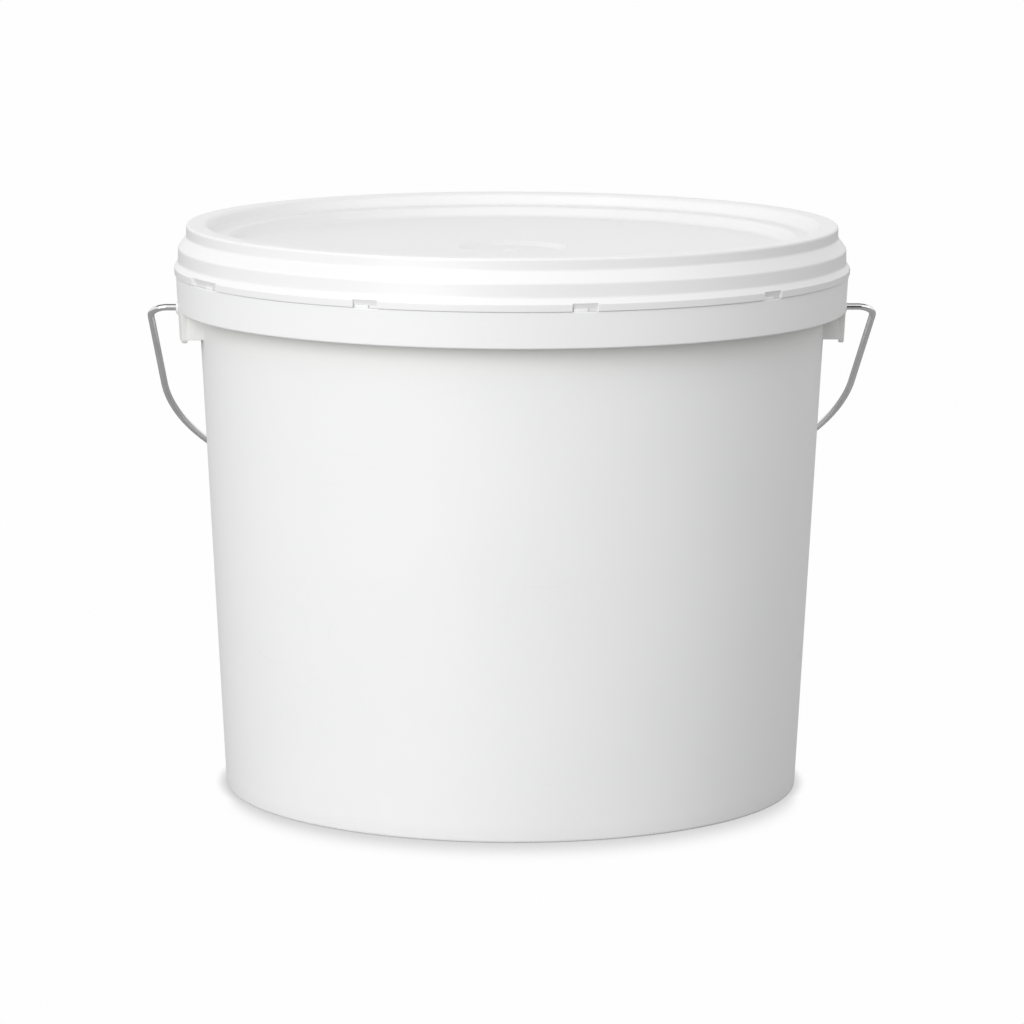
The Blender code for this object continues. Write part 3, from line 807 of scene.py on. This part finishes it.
def ear_share(angle):
    """0 along the collar, 1 along an ear, a quarter circle at the ear's lower corners."""
    depth = inside_ear(angle)
    if depth < -EAR_SIDE_STEP / 2:
        return 0.0
    left = max(0.0, EAR_CORNER - max(0.0, depth))
    return (EAR_DROP - EAR_CORNER + math.sqrt(EAR_CORNER ** 2 - left ** 2)) / EAR_DROP


def ear_angles():
    """Marks close together at each ear's sides and even elsewhere."""
    turns = [math.radians(90.0 * step / EAR_ROUND_STEPS) for step in range(EAR_ROUND_STEPS + 1)]
    depths = [-EAR_SIDE_STEP] + [EAR_CORNER * (1 - math.cos(bend)) for bend in turns]
    offsets = [EAR_HALF_ANGLE - math.degrees(depth / EAR_FACE) for depth in depths]
    close = [middle + side * offset for middle in EAR_MIDDLES for side in (-1, 1) for offset in offsets]
    return sorted(even_angles() + close)


tub = turn("tub_shell", BODY_PLASTIC, tub_corners(NECK_Z), tub_corners(EAR_BOTTOM), ear_angles(), ear_share)

# %% [markdown]
# ## Ear fittings
# Behind each ear two small side plates run back to the wall, and a raised ring, sloped like a low
# cone, stiffens the hole that the wire turns in. The plates are blocks with bevelled edges. The
# rings are turned like the rest, then laid on their side. The holes are cut with the Boolean
# modifier, which is the plain tool for one round hole through a wall.

# %% Ear side plates
CHEEK = 2.0 * MM
CHEEK_RISE = 1.5 * MM
EDGE_BEVEL = 0.35 * MM
BEVEL_STEPS = 3
SEAT = 0.7 * MM               # how far a fitting runs into the wall that carries it


def mesh_piece(name, form, finish):
    """Object from a bmesh, shaded smooth between its sharp edges."""
    bmesh.ops.recalc_face_normals(form, faces=form.faces)
    mesh = bpy.data.meshes.new(name)
    form.to_mesh(mesh)
    form.free()
    mesh.materials.append(finish)
    mesh.shade_smooth()
    mesh.set_sharp_from_angle(angle=SHARP_ANGLE)
    return add_object(name, mesh)


def add_block(form, low, high):
    """Closed box between two corners, with rounded edges."""
    size = Vector(high) - Vector(low)
    shape = Matrix.Translation((Vector(high) + Vector(low)) / 2) @ Matrix.Diagonal((*size, 1.0))
    made = bmesh.ops.create_cube(form, size=1.0, matrix=shape)["verts"]
    edges = {edge for vert in made for edge in vert.link_edges}
    sizes = {"offset": EDGE_BEVEL, "segments": BEVEL_STEPS, "profile": 0.5}
    bmesh.ops.bevel(form, geom=list(edges), affect="EDGES", **sizes)


def ear_cheeks():
    form = bmesh.new()
    low = EAR_BOTTOM + CHEEK_RISE
    high = COLLAR_TOP - FLANGE + SEAT
    outer = EAR_HALF_WIDTH - EDGE_BEVEL
    near = math.sqrt(wall_radius(low) ** 2 - outer ** 2) - SEAT
    far = math.sqrt((collar_radius(low) - COLLAR_WALL / 2) ** 2 - outer ** 2)
    for side in (-1, 1):
        for end in (-1, 1):
            edges_x = sorted((side * near, side * far))
            edges_y = sorted((end * outer, end * (outer - CHEEK)))
            add_block(form, (edges_x[0], edges_y[0], low), (edges_x[1], edges_y[1], high))
    return mesh_piece("ear_cheeks", form, BODY_PLASTIC)


cheeks = ear_cheeks()
print("ear plates:", len(cheeks.data.polygons), "faces")

# %% Rings round the wire holes
HOLE_RADIUS = 1.8 * MM
BOSS_RADIUS = 3.2 * MM
BOSS_LIP = 2.3 * MM
BOSS_PROUD = 0.9 * MM
BOSS_EDGE = 0.1 * MM          # height at which the slope starts, and the rounding there
BOSS_HOLE_ROUND = 0.15 * MM
SMALL_STEP = 7.5              # degrees between marks on small round pieces


def lay_on_side(piece, side, spot):
    """Turns a piece's own axis from z to x and moves it, in its mesh."""
    turn_over = Matrix.Rotation(math.radians(90.0 * side), 4, "Y")
    piece.data.transform(Matrix.Translation(spot) @ turn_over)


def ear_boss(name, side):
    low = -COLLAR_WALL / 2
    corners = [
        (HOLE_RADIUS, low, KEEN),
        (BOSS_RADIUS, low, KEEN),
        (BOSS_RADIUS, BOSS_EDGE, BOSS_EDGE),
        (BOSS_LIP, BOSS_PROUD, KEEN),
        (HOLE_RADIUS, BOSS_PROUD, BOSS_HOLE_ROUND),
    ]
    ring = turn(name, BODY_PLASTIC, corners, angles=even_angles(SMALL_STEP), closed=True)
    lay_on_side(ring, side, Vector((side * EAR_FACE, 0.0, NECK_Z)))
    return ring


bosses = [ear_boss("ear_boss_left", -1), ear_boss("ear_boss_right", 1)]

# %% Wire holes
HOLE_SIDES = 48


def hole_tools():
    """Round rods through both ears, clear of the wall behind them."""
    form = bmesh.new()
    inner = wall_radius(NECK_Z) + SEAT
    outer = EAR_FACE + 2 * BOSS_PROUD
    for side in (-1, 1):
        shape = Matrix.Translation((side * (inner + outer) / 2, 0.0, NECK_Z))
        shape = shape @ Matrix.Rotation(math.radians(90.0), 4, "Y")
        sizes = {"radius1": HOLE_RADIUS, "radius2": HOLE_RADIUS, "depth": outer - inner}
        bmesh.ops.create_cone(form, cap_ends=True, segments=HOLE_SIDES, matrix=shape, **sizes)
    return mesh_piece("hole_tools", form, BODY_PLASTIC)


def cut_holes(piece):
    tools = hole_tools()
    cut = piece.modifiers.new("wire_holes", "BOOLEAN")
    cut.operation = "DIFFERENCE"
    cut.solver = "EXACT"
    cut.object = tools
    keep_result(piece, cut)
    bpy.data.objects.remove(tools)


cut_holes(tub)
print("tub shell with its holes has", len(tub.data.polygons), "faces")

# %% [markdown]
# ## Tabs on the collar
# Ten small tabs stand on the collar's top edge, one in each notch of the lid's bead. They keep the
# closed lid from turning. One bevelled tab is modelled at the front, and a small
# Geometry Nodes tree repeats it: points at the axis, an instance on each, and each instance
# turned a tenth of the way further round.

# %% Tabs on the collar
NOTCH_COUNT = 10
NOTCH_WIDTH = 4.2             # degrees
NOTCH_PHASE = 9.8             # middle of the first notch, from the front towards +x
TAB_HEIGHT = 1.3 * MM
TAB_WIDTH = 2.5               # degrees
TAB_SETBACK = 0.1 * MM
TAB_DEPTH = 0.45 * MM


def repeated_round():
    inputs = {"One": "Geometry", "Count": "Int", "First Angle": "Float", "Finish": "Material"}
    tree, given, result = start_group("repeated_round", "GeometryNodeTree", inputs, {"All": "Geometry"})
    index = place(tree, "GeometryNodeInputIndex").outputs[0]
    step = reckon(tree, "DIVIDE", 2 * math.pi, given.outputs["Count"])
    angle = sum_of(tree, product(tree, index, step), given.outputs["First Angle"])
    rotation = place(tree, "ShaderNodeCombineXYZ", {"Z": angle}).outputs[0]
    points = place(tree, "GeometryNodePoints", {"Count": given.outputs["Count"]}).outputs[0]
    sockets = {"Points": points, "Instance": given.outputs["One"], "Rotation": rotation}
    copies = place(tree, "GeometryNodeInstanceOnPoints", sockets).outputs[0]
    end_tree(tree, copies, given.outputs["Finish"], result.inputs["All"])
    return tree


def collar_tabs():
    outer = collar_radius(COLLAR_TOP) - TAB_SETBACK
    half = math.radians(TAB_WIDTH) / 2 * outer
    top = COLLAR_TOP + TAB_HEIGHT
    form = bmesh.new()
    add_block(form, (-half, -outer, COLLAR_TOP - SEAT), (half, TAB_DEPTH - outer, top))
    tabs = mesh_piece("collar_tabs", form, BODY_PLASTIC)
    start = NOTCH_PHASE - NOTCH_WIDTH / 2 + math.degrees(GAP / outer) + TAB_WIDTH / 2
    values = {"Count": NOTCH_COUNT, "First Angle": math.radians(start), "Finish": BODY_PLASTIC}
    run_tree(tabs, repeated_round(), values)
    return tabs


tabs = collar_tabs()
print("tabs:", NOTCH_COUNT, "with", len(tabs.data.polygons), "faces")

# %% [markdown]
# ## The lid
# The lid is one thin moulding as well. From outside it has a bead that snaps over the tub's rim,
# two steps, a broad round rim, a stacking ledge inside the rim, a sunk panel, and a shallow dish
# in the middle with the small nub where the plastic was injected. Its second outline cuts
# the bead's lower half away, under a thin ceiling that stays, and is used at the notches. One slot
# beside a notch is wider, to lever the lid off.

# %% Lid outlines
SEAM = 0.05 * MM              # between the closed lid and the collar
LID_BOTTOM = COLLAR_TOP + SEAM
LID_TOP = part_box("lid")[1].z
LID_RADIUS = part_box("lid")[1].x
LID_WALL = 1.6 * MM
BEAD_OVERHANG = 0.12 * MM     # of the crown over the lower edge
BEAD_LIP_HEIGHT = 0.9 * MM
BEAD_LIP_SHARE = 0.7          # of the overhang that is still to go at that height
BEAD_CROWN_Z = 217.9 * MM
BEAD_CROWN_ROUND = 0.9 * MM
BEAD_EDGE_ROUND = 0.3 * MM
BEAD_INNER_ROUND = 0.25 * MM
STEP_Z = 220.2 * MM
STEP_RADIUS = 138.4 * MM
STEP_DRAFT = 0.1 * MM
SHOULDER_Z = 226.0 * MM
RIM_BAND_Z = 230.5 * MM
RIM_RADIUS = 134.9 * MM
RIM_WIDTH = 8.6 * MM
RIM_FLAT = 8.4 * MM           # seen from above, before the wall down to the ledge
RIM_ROUND = 1.1 * MM
RIM_INNER_ROUND = 1.6 * MM
LEDGE_ROUND = 1.2 * MM
LEDGE_RADIUS = 124.0 * MM
LEDGE_INNER = 117.4 * MM
LEDGE_Z = 230.4 * MM
PANEL_Z = 226.2 * MM
PANEL_SLOPE = 3.2 * MM
PANEL_ROUND = 1.6 * MM
PANEL_UNDER_ROUND = 1.5 * MM
PANEL_SAG = 0.8 * MM          # by which the panel has sunk at the dish
DISH_FLAT_RADIUS = 19.6 * MM
DISH_RADIUS = 22.8 * MM
DISH_DEPTH = 1.6 * MM
DISH_UNDER_ROUND = 1.0 * MM
DISH_LIP = 0.25 * MM
DISH_LIP_WIDTH = 1.6 * MM
NUB_RADIUS = 3.4 * MM
NUB_HEIGHT = 0.8 * MM
NOTCH_TOP = 218.2 * MM
NOTCH_BACK = 138.7 * MM
NOTCH_LIP = 0.5 * MM          # depth left under the ceiling of a notch


def lid_under():
    """Under side of the lid, from its middle out to the bead's lower edge."""
    under = PANEL_Z - LID_WALL
    sunk = under - PANEL_SAG
    step_in = STEP_RADIUS - LID_WALL
    return [
        (0.0, sunk - DISH_DEPTH, 0.0),
        (DISH_FLAT_RADIUS + LID_WALL, sunk - DISH_DEPTH, DISH_UNDER_ROUND),
        (DISH_RADIUS + LID_WALL, sunk, DISH_UNDER_ROUND),
        (LEDGE_INNER + LID_WALL - PANEL_SLOPE, under, PANEL_UNDER_ROUND),
        (LEDGE_INNER + LID_WALL, LEDGE_Z - LID_WALL, BROAD),
        (LEDGE_RADIUS + LID_WALL, LEDGE_Z - LID_WALL, BROAD),
        (RIM_RADIUS - RIM_WIDTH + LID_WALL, LID_TOP - LID_WALL, BROAD),
        (RIM_RADIUS - LID_WALL, LID_TOP - LID_WALL, BROAD),
        (RIM_RADIUS - LID_WALL, RIM_BAND_Z - LID_WALL / 2, SOFT),
        (step_in - STEP_DRAFT, SHOULDER_Z - LID_WALL / 2, BROAD),
    ]


def lid_bead(cut):
    """Bead from its lower edge to the ceiling over a notch, whole or cut away."""
    ceiling = LID_RADIUS - (LID_RADIUS - STEP_RADIUS) * (NOTCH_TOP - BEAD_CROWN_Z) / (STEP_Z - BEAD_CROWN_Z)
    inner = STEP_RADIUS - LID_WALL + STEP_DRAFT
    edge = LID_RADIUS - BEAD_OVERHANG
    lip = LID_RADIUS - BEAD_OVERHANG * BEAD_LIP_SHARE
    return [
        (inner, LID_BOTTOM, BEAD_INNER_ROUND),
        (NOTCH_BACK if cut else edge, LID_BOTTOM, BEAD_EDGE_ROUND),
        (NOTCH_BACK if cut else lip, LID_BOTTOM + BEAD_LIP_HEIGHT, KEEN),
        (LID_RADIUS - NOTCH_LIP, NOTCH_TOP, KEEN) if cut else (LID_RADIUS, BEAD_CROWN_Z, BEAD_CROWN_ROUND),
        (ceiling, NOTCH_TOP, KEEN),
    ]


def lid_top():
    """Upper side of the lid, from the bead up over the rim and in to its middle."""
    sunk = PANEL_Z - PANEL_SAG
    dish = sunk - DISH_DEPTH
    return [
        (STEP_RADIUS, STEP_Z, SOFT),
        (STEP_RADIUS - STEP_DRAFT, SHOULDER_Z, SOFT),
        (RIM_RADIUS, RIM_BAND_Z, SOFT),
        (RIM_RADIUS, LID_TOP, RIM_ROUND),
        (RIM_RADIUS - RIM_FLAT, LID_TOP, RIM_INNER_ROUND),
        (LEDGE_RADIUS, LEDGE_Z, LEDGE_ROUND),
        (LEDGE_INNER, LEDGE_Z, BROAD),
        (LEDGE_INNER - PANEL_SLOPE, PANEL_Z, PANEL_ROUND),
        (DISH_RADIUS + DISH_LIP_WIDTH, sunk, CRISP),
        (DISH_RADIUS, sunk + DISH_LIP, CRISP),
        (DISH_FLAT_RADIUS, dish, SOFT),
        (NUB_RADIUS, dish, SOFT),
        (NUB_RADIUS / 2, dish + NUB_HEIGHT, SOFT),
        (0.0, dish + NUB_HEIGHT, 0.0),
    ]


def lid_corners(cut):
    return lid_under() + lid_bead(cut) + lid_top()


print("lid corners:", len(lid_corners(False)))

# %% Lid shell
PRY_WIDTH = 5.5               # degrees
PRY_NOTCH = 8                 # counted from the first notch, towards +x
NOTCH_EDGE = 0.12 * MM        # half the width over which a notch's end is rounded
NOTCH_END_MARKS = (-1.0, -0.35, 0.35, 1.0)   # in half widths from a notch's end


def notch_spans():
    """First and last angle of every notch, between -180 and 180 degrees."""
    spans = []
    for k in range(NOTCH_COUNT):
        middle = (NOTCH_PHASE + 360.0 / NOTCH_COUNT * k + 180.0) % 360.0 - 180.0
        first = middle - NOTCH_WIDTH / 2 - (PRY_WIDTH if k == PRY_NOTCH else 0.0)
        spans.append((first, middle + NOTCH_WIDTH / 2))
    return spans


def notch_share(angle):
    """0 on the whole bead, 1 inside a notch, with a short smooth step between."""
    depth = max(min(angle - first, last - angle) for first, last in notch_spans())
    part = math.radians(depth) * LID_RADIUS / (2 * NOTCH_EDGE) + 0.5
    part = min(1.0, max(0.0, part))
    return part * part * (3 - 2 * part)


def notch_angles():
    """Marks close together at each notch's ends and even elsewhere."""
    edge = math.degrees(NOTCH_EDGE / LID_RADIUS)
    close = []
    for span in notch_spans():
        for end in span:
            close += [end + edge * offset for offset in NOTCH_END_MARKS]
    clear = [angle for angle in even_angles() if min(abs(angle - other) for other in close) > 2 * edge]
    return sorted(clear + close)


lid = turn("lid_shell", LID_PLASTIC, lid_corners(False), lid_corners(True), notch_angles(), notch_share)

# %% [markdown]
# ## Gasket and coating
# A rubber ring lies in the lid's channel and is pressed on the tub's rim. The coating fills the
# tub to below the rim. Both are hidden until the lid is lifted. A stirred coating is never a flat
# disc: it climbs a little at the wall and keeps a shallow spiral from the paddle, so its upper
# rings are lifted and lowered along a spiral.

# %% Gasket
GASKET_WIDTH = 4.0 * MM
GASKET_HEIGHT = 2.0 * MM
GASKET_LOW_ROUND = 0.7 * MM
GASKET_TOP_ROUND = 0.5 * MM


def gasket_ring():
    outer = RIM_RADIUS - LID_WALL - GAP
    inner = outer - GASKET_WIDTH
    top = LID_TOP - LID_WALL - GAP
    low = top - GASKET_HEIGHT
    corners = [(inner, low, GASKET_LOW_ROUND), (outer, low, GASKET_LOW_ROUND)]
    corners += [(outer, top, GASKET_TOP_ROUND), (inner, top, GASKET_TOP_ROUND)]
    return turn("gasket_ring", GASKET_RUBBER, corners, closed=True)


gasket = gasket_ring()

# %% Coating
FILL_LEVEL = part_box("coating_fill")[1].z
MENISCUS = 1.0 * MM
MENISCUS_WIDTH = 5.0 * MM
SPIRAL_DEPTH = 0.4 * MM
SPIRAL_PITCH = 26.0 * MM
SURFACE_RINGS = 40


def coating_pool():
    low = FLOOR_TOP + GAP
    inset = WALL + GAP
    edge = wall_radius(FILL_LEVEL) - inset
    level = FILL_LEVEL - MENISCUS
    corners = [(0.0, low, 0.0), (wall_radius(low) - inset, low, FOOT_ROUND), (edge, FILL_LEVEL, KEEN)]
    flat = edge - MENISCUS_WIDTH
    corners += [(flat * (1 - k / SURFACE_RINGS), level, 0.0) for k in range(SURFACE_RINGS + 1)]
    pool = turn("coating_pool", COATING_WET, corners)
    for vert in pool.data.vertices:
        radius = vert.co.xy.length
        if vert.co.z > level - SPIRAL_DEPTH and radius < flat:
            phase = 2 * math.pi * radius / SPIRAL_PITCH - math.atan2(vert.co.y, vert.co.x)
            calm = math.sin(math.pi * radius / flat)
            vert.co.z += SPIRAL_DEPTH * calm * math.sin(phase)
    return pool


coating = coating_pool()
print("coating level in millimetres:", round(FILL_LEVEL / MM, 1))

# %% [markdown]
# ## The bail
# The bail is one length of wire: a short stub into each ear with an upset head behind it, a tight
# bend, a leg that leans in a little, a round bow and a straight middle that carries the grip. The
# route is worked out as arcs and straights in the bail's own plane, then leaned back to where it
# rests. A curve with a bevel would do, but a Geometry Nodes tree can also widen the wire at its
# heads and store the distance along it, which the steel finish reads.

# %% Bail route
WIRE_RADIUS = 1.4 * MM
HEAD_RADIUS = 2.9 * MM
HEAD_LENGTH = 1.6 * MM
HEAD_SOFT = 0.3 * MM          # length of its rounded ends
HEAD_TIP = 0.8                # share of its radius at the tip
HEAD_NECK = 0.9               # and towards the wire
BAIL_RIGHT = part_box("bail_wire")[1].x - WIRE_RADIUS
LEFT_TUCK = 1.0 * MM          # the left half is bent a little closer to the tub
BAIL_LEFT = BAIL_RIGHT - LEFT_TUCK
BAIL_BEND = 6.8 * MM
LEG_ANGLE = 3.6               # degrees
GRIP_LENGTH = 76.0 * MM
STRAIGHT_HALF = 41.0 * MM
BOW_PULL = 1.2 * MM           # how far the bow is pulled in from a true circle
BEND_STEPS = 16
BOW_STEPS = 40
PIVOT = Vector(joints["bail_swing"]["pos_m"])
GRIP_CENTRE = Vector(joints["grip_spin"]["pos_m"])


def arc(centre, radius, first, last, steps):
    angles = [math.radians(first + (last - first) * k / steps) for k in range(steps + 1)]
    return [(centre[0] + radius * math.cos(a), centre[1] + radius * math.sin(a)) for a in angles]


def bail_half(half_width):
    """Half of the bail as (x, drop) points from an ear to the middle, ending at the grip's drop."""
    lean = math.radians(LEG_ANGLE)
    points = arc((half_width - BAIL_BEND, BAIL_BEND), BAIL_BEND, -90.0, LEG_ANGLE, BEND_STEPS)
    start_x, start_drop = points[-1]
    rise = (1 - math.sin(lean)) / math.cos(lean)
    level_x = start_x + start_drop * math.tan(lean)
    total = (GRIP_CENTRE - PIVOT).length
    leg_drop = (total - (level_x - STRAIGHT_HALF) * rise) / (1 - math.tan(lean) * rise)
    leg_x = level_x - leg_drop * math.tan(lean)
    bow = (leg_x - STRAIGHT_HALF) / math.cos(lean)
    centre = (STRAIGHT_HALF, leg_drop - bow * math.sin(lean))
    round_bow = arc(centre, bow, LEG_ANGLE, 90.0, BOW_STEPS)
    pulls = [BOW_PULL * math.sin(math.pi * k / BOW_STEPS) for k in range(BOW_STEPS + 1)]
    return points + [(x - pull, drop) for (x, drop), pull in zip(round_bow, pulls)]


def head_points():
    """The upset head as (x, girth) points, where a girth of 1 is the plain wire."""
    inner = EAR_FACE - COLLAR_WALL - GAP - HEAD_LENGTH
    outer = inner + HEAD_LENGTH
    full = HEAD_RADIUS / WIRE_RADIUS
    tip = [(inner, HEAD_TIP * full), (inner + HEAD_SOFT, full)]
    return tip + [(outer - HEAD_SOFT, full), (outer, HEAD_NECK * full), (outer, 1.0)]


def bail_route():
    """Points of the whole bail at rest, and the wire's girth at each."""
    down = (GRIP_CENTRE - PIVOT).normalized()
    both = []
    for side, half_width in ((1, BAIL_RIGHT), (-1, BAIL_LEFT)):
        half = [(side * x, 0.0, girth) for x, girth in head_points()]
        half += [(side * x, drop, 1.0) for x, drop in bail_half(half_width)]
        both += half if side > 0 else half[::-1]
    points = [PIVOT + Vector((x, 0.0, 0.0)) + down * drop for x, drop, _ in both]
    return points, [girth for _, _, girth in both]


route, girths = bail_route()
print("wire length in millimetres:", round(sum((b - a).length for a, b in zip(route, route[1:])) / MM))

# %% Geometry Nodes: bent wire
GIRTH = "girth"               # attribute on the route: thickness at each point
WIRE_SIDES = 24


def bent_wire():
    inputs = {"Route": "Geometry", "Radius": "Float", "Sides": "Int", "Finish": "Material"}
    tree, given, result = start_group("bent_wire", "GeometryNodeTree", inputs, {"Wire": "Geometry"})
    path = place(tree, "GeometryNodeMeshToCurve", {"Mesh": given.outputs["Route"]}).outputs[0]
    distance = place(tree, "GeometryNodeSplineParameter").outputs["Length"]
    sockets = {"Geometry": path, "Name": ALONG, "Value": distance}
    marked = place(tree, "GeometryNodeStoreNamedAttribute", sockets).outputs[0]
    girth = place(tree, "GeometryNodeInputNamedAttribute", {"Name": GIRTH}).outputs["Attribute"]
    sockets = {"Resolution": given.outputs["Sides"], "Radius": given.outputs["Radius"]}
    circle = place(tree, "GeometryNodeCurvePrimitiveCircle", sockets).outputs["Curve"]
    sockets = {"Curve": marked, "Profile Curve": circle, "Scale": girth, "Fill Caps": True}
    wire = place(tree, "GeometryNodeCurveToMesh", sockets).outputs[0]
    end_tree(tree, wire, given.outputs["Finish"], result.inputs["Wire"])
    return tree


def bail():
    wire = points_object("bail_bent_wire", route)
    girth = wire.data.attributes.new(GIRTH, "FLOAT", "POINT")
    girth.data.foreach_set("value", girths)
    values = {"Radius": WIRE_RADIUS, "Sides": WIRE_SIDES, "Finish": WIRE_STEEL}
    run_tree(wire, bent_wire(), values)
    return wire


wire = bail()
print("bail has", len(wire.data.polygons), "faces")

# %% [markdown]
# ## The grip
# A tube of plastic turns on the straight middle of the bail, so that the thin wire does not cut
# into the hand. Shallow rings round it keep fingers from sliding. It is turned upright at the
# origin like the other pieces, then laid along x at the grip's place.

# %% Grip
GRIP_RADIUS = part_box("bail_grip")[1].z - GRIP_CENTRE.z
GRIP_ROUND = 1.5 * MM
RING_COUNT = 9
RING_SPACING = 7.0 * MM
RING_HALF = 1.3 * MM
RING_DEPTH = 0.5 * MM
RING_ROUND = 0.35 * MM
RING_SHAPE = ((-1.0, 0.0), (-0.4, RING_DEPTH), (0.4, RING_DEPTH), (1.0, 0.0))   # half widths, sink


def grip_tube():
    half = GRIP_LENGTH / 2
    bore = WIRE_RADIUS + GAP
    corners = [(bore, -half, CRISP), (GRIP_RADIUS, -half, GRIP_ROUND)]
    for k in range(RING_COUNT):
        middle = (k - (RING_COUNT - 1) / 2) * RING_SPACING
        for offset, sink in RING_SHAPE:
            corners.append((GRIP_RADIUS - sink, middle + offset * RING_HALF, RING_ROUND))
    corners += [(GRIP_RADIUS, half, GRIP_ROUND), (bore, half, CRISP)]
    tube = turn("grip_tube", GRIP_PLASTIC, corners, angles=even_angles(SMALL_STEP), closed=True)
    lay_on_side(tube, 1, GRIP_CENTRE)
    return tube


grip = grip_tube()
print("grip radius in millimetres:", round(GRIP_RADIUS / MM, 2))

# %% [markdown]
# ## Riding on the frame
# Every piece is listed with the body it moves with, the slot of the record its finish belongs to, and
# the solid it stands for. Each piece is attached to its body. A solid that has been replaced is hidden
# but still works as the shape that touches things.

# %% Bodies, slots and replaced solids
DRESSED = [
    (tub, "tub", "body_plastic", "tub_body"),
    (cheeks, "tub", "body_plastic", None),
    (bosses[0], "tub", "body_plastic", None),
    (bosses[1], "tub", "body_plastic", None),
    (tabs, "tub", "body_plastic", None),
    (coating, "tub", "coating", "coating_fill"),
    (lid, "lid", "lid_plastic", "lid"),
    (gasket, "lid", "gasket_rubber", "lid_gasket"),
    (wire, "bail", "wire_steel", "bail_wire"),
    (grip, "grip", "grip_plastic", "bail_grip"),
]
for piece, body, slot, node in DRESSED:
    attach(piece, body)
    if node:
        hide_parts(node)
print("pieces:", [piece.name for piece, *_ in DRESSED])
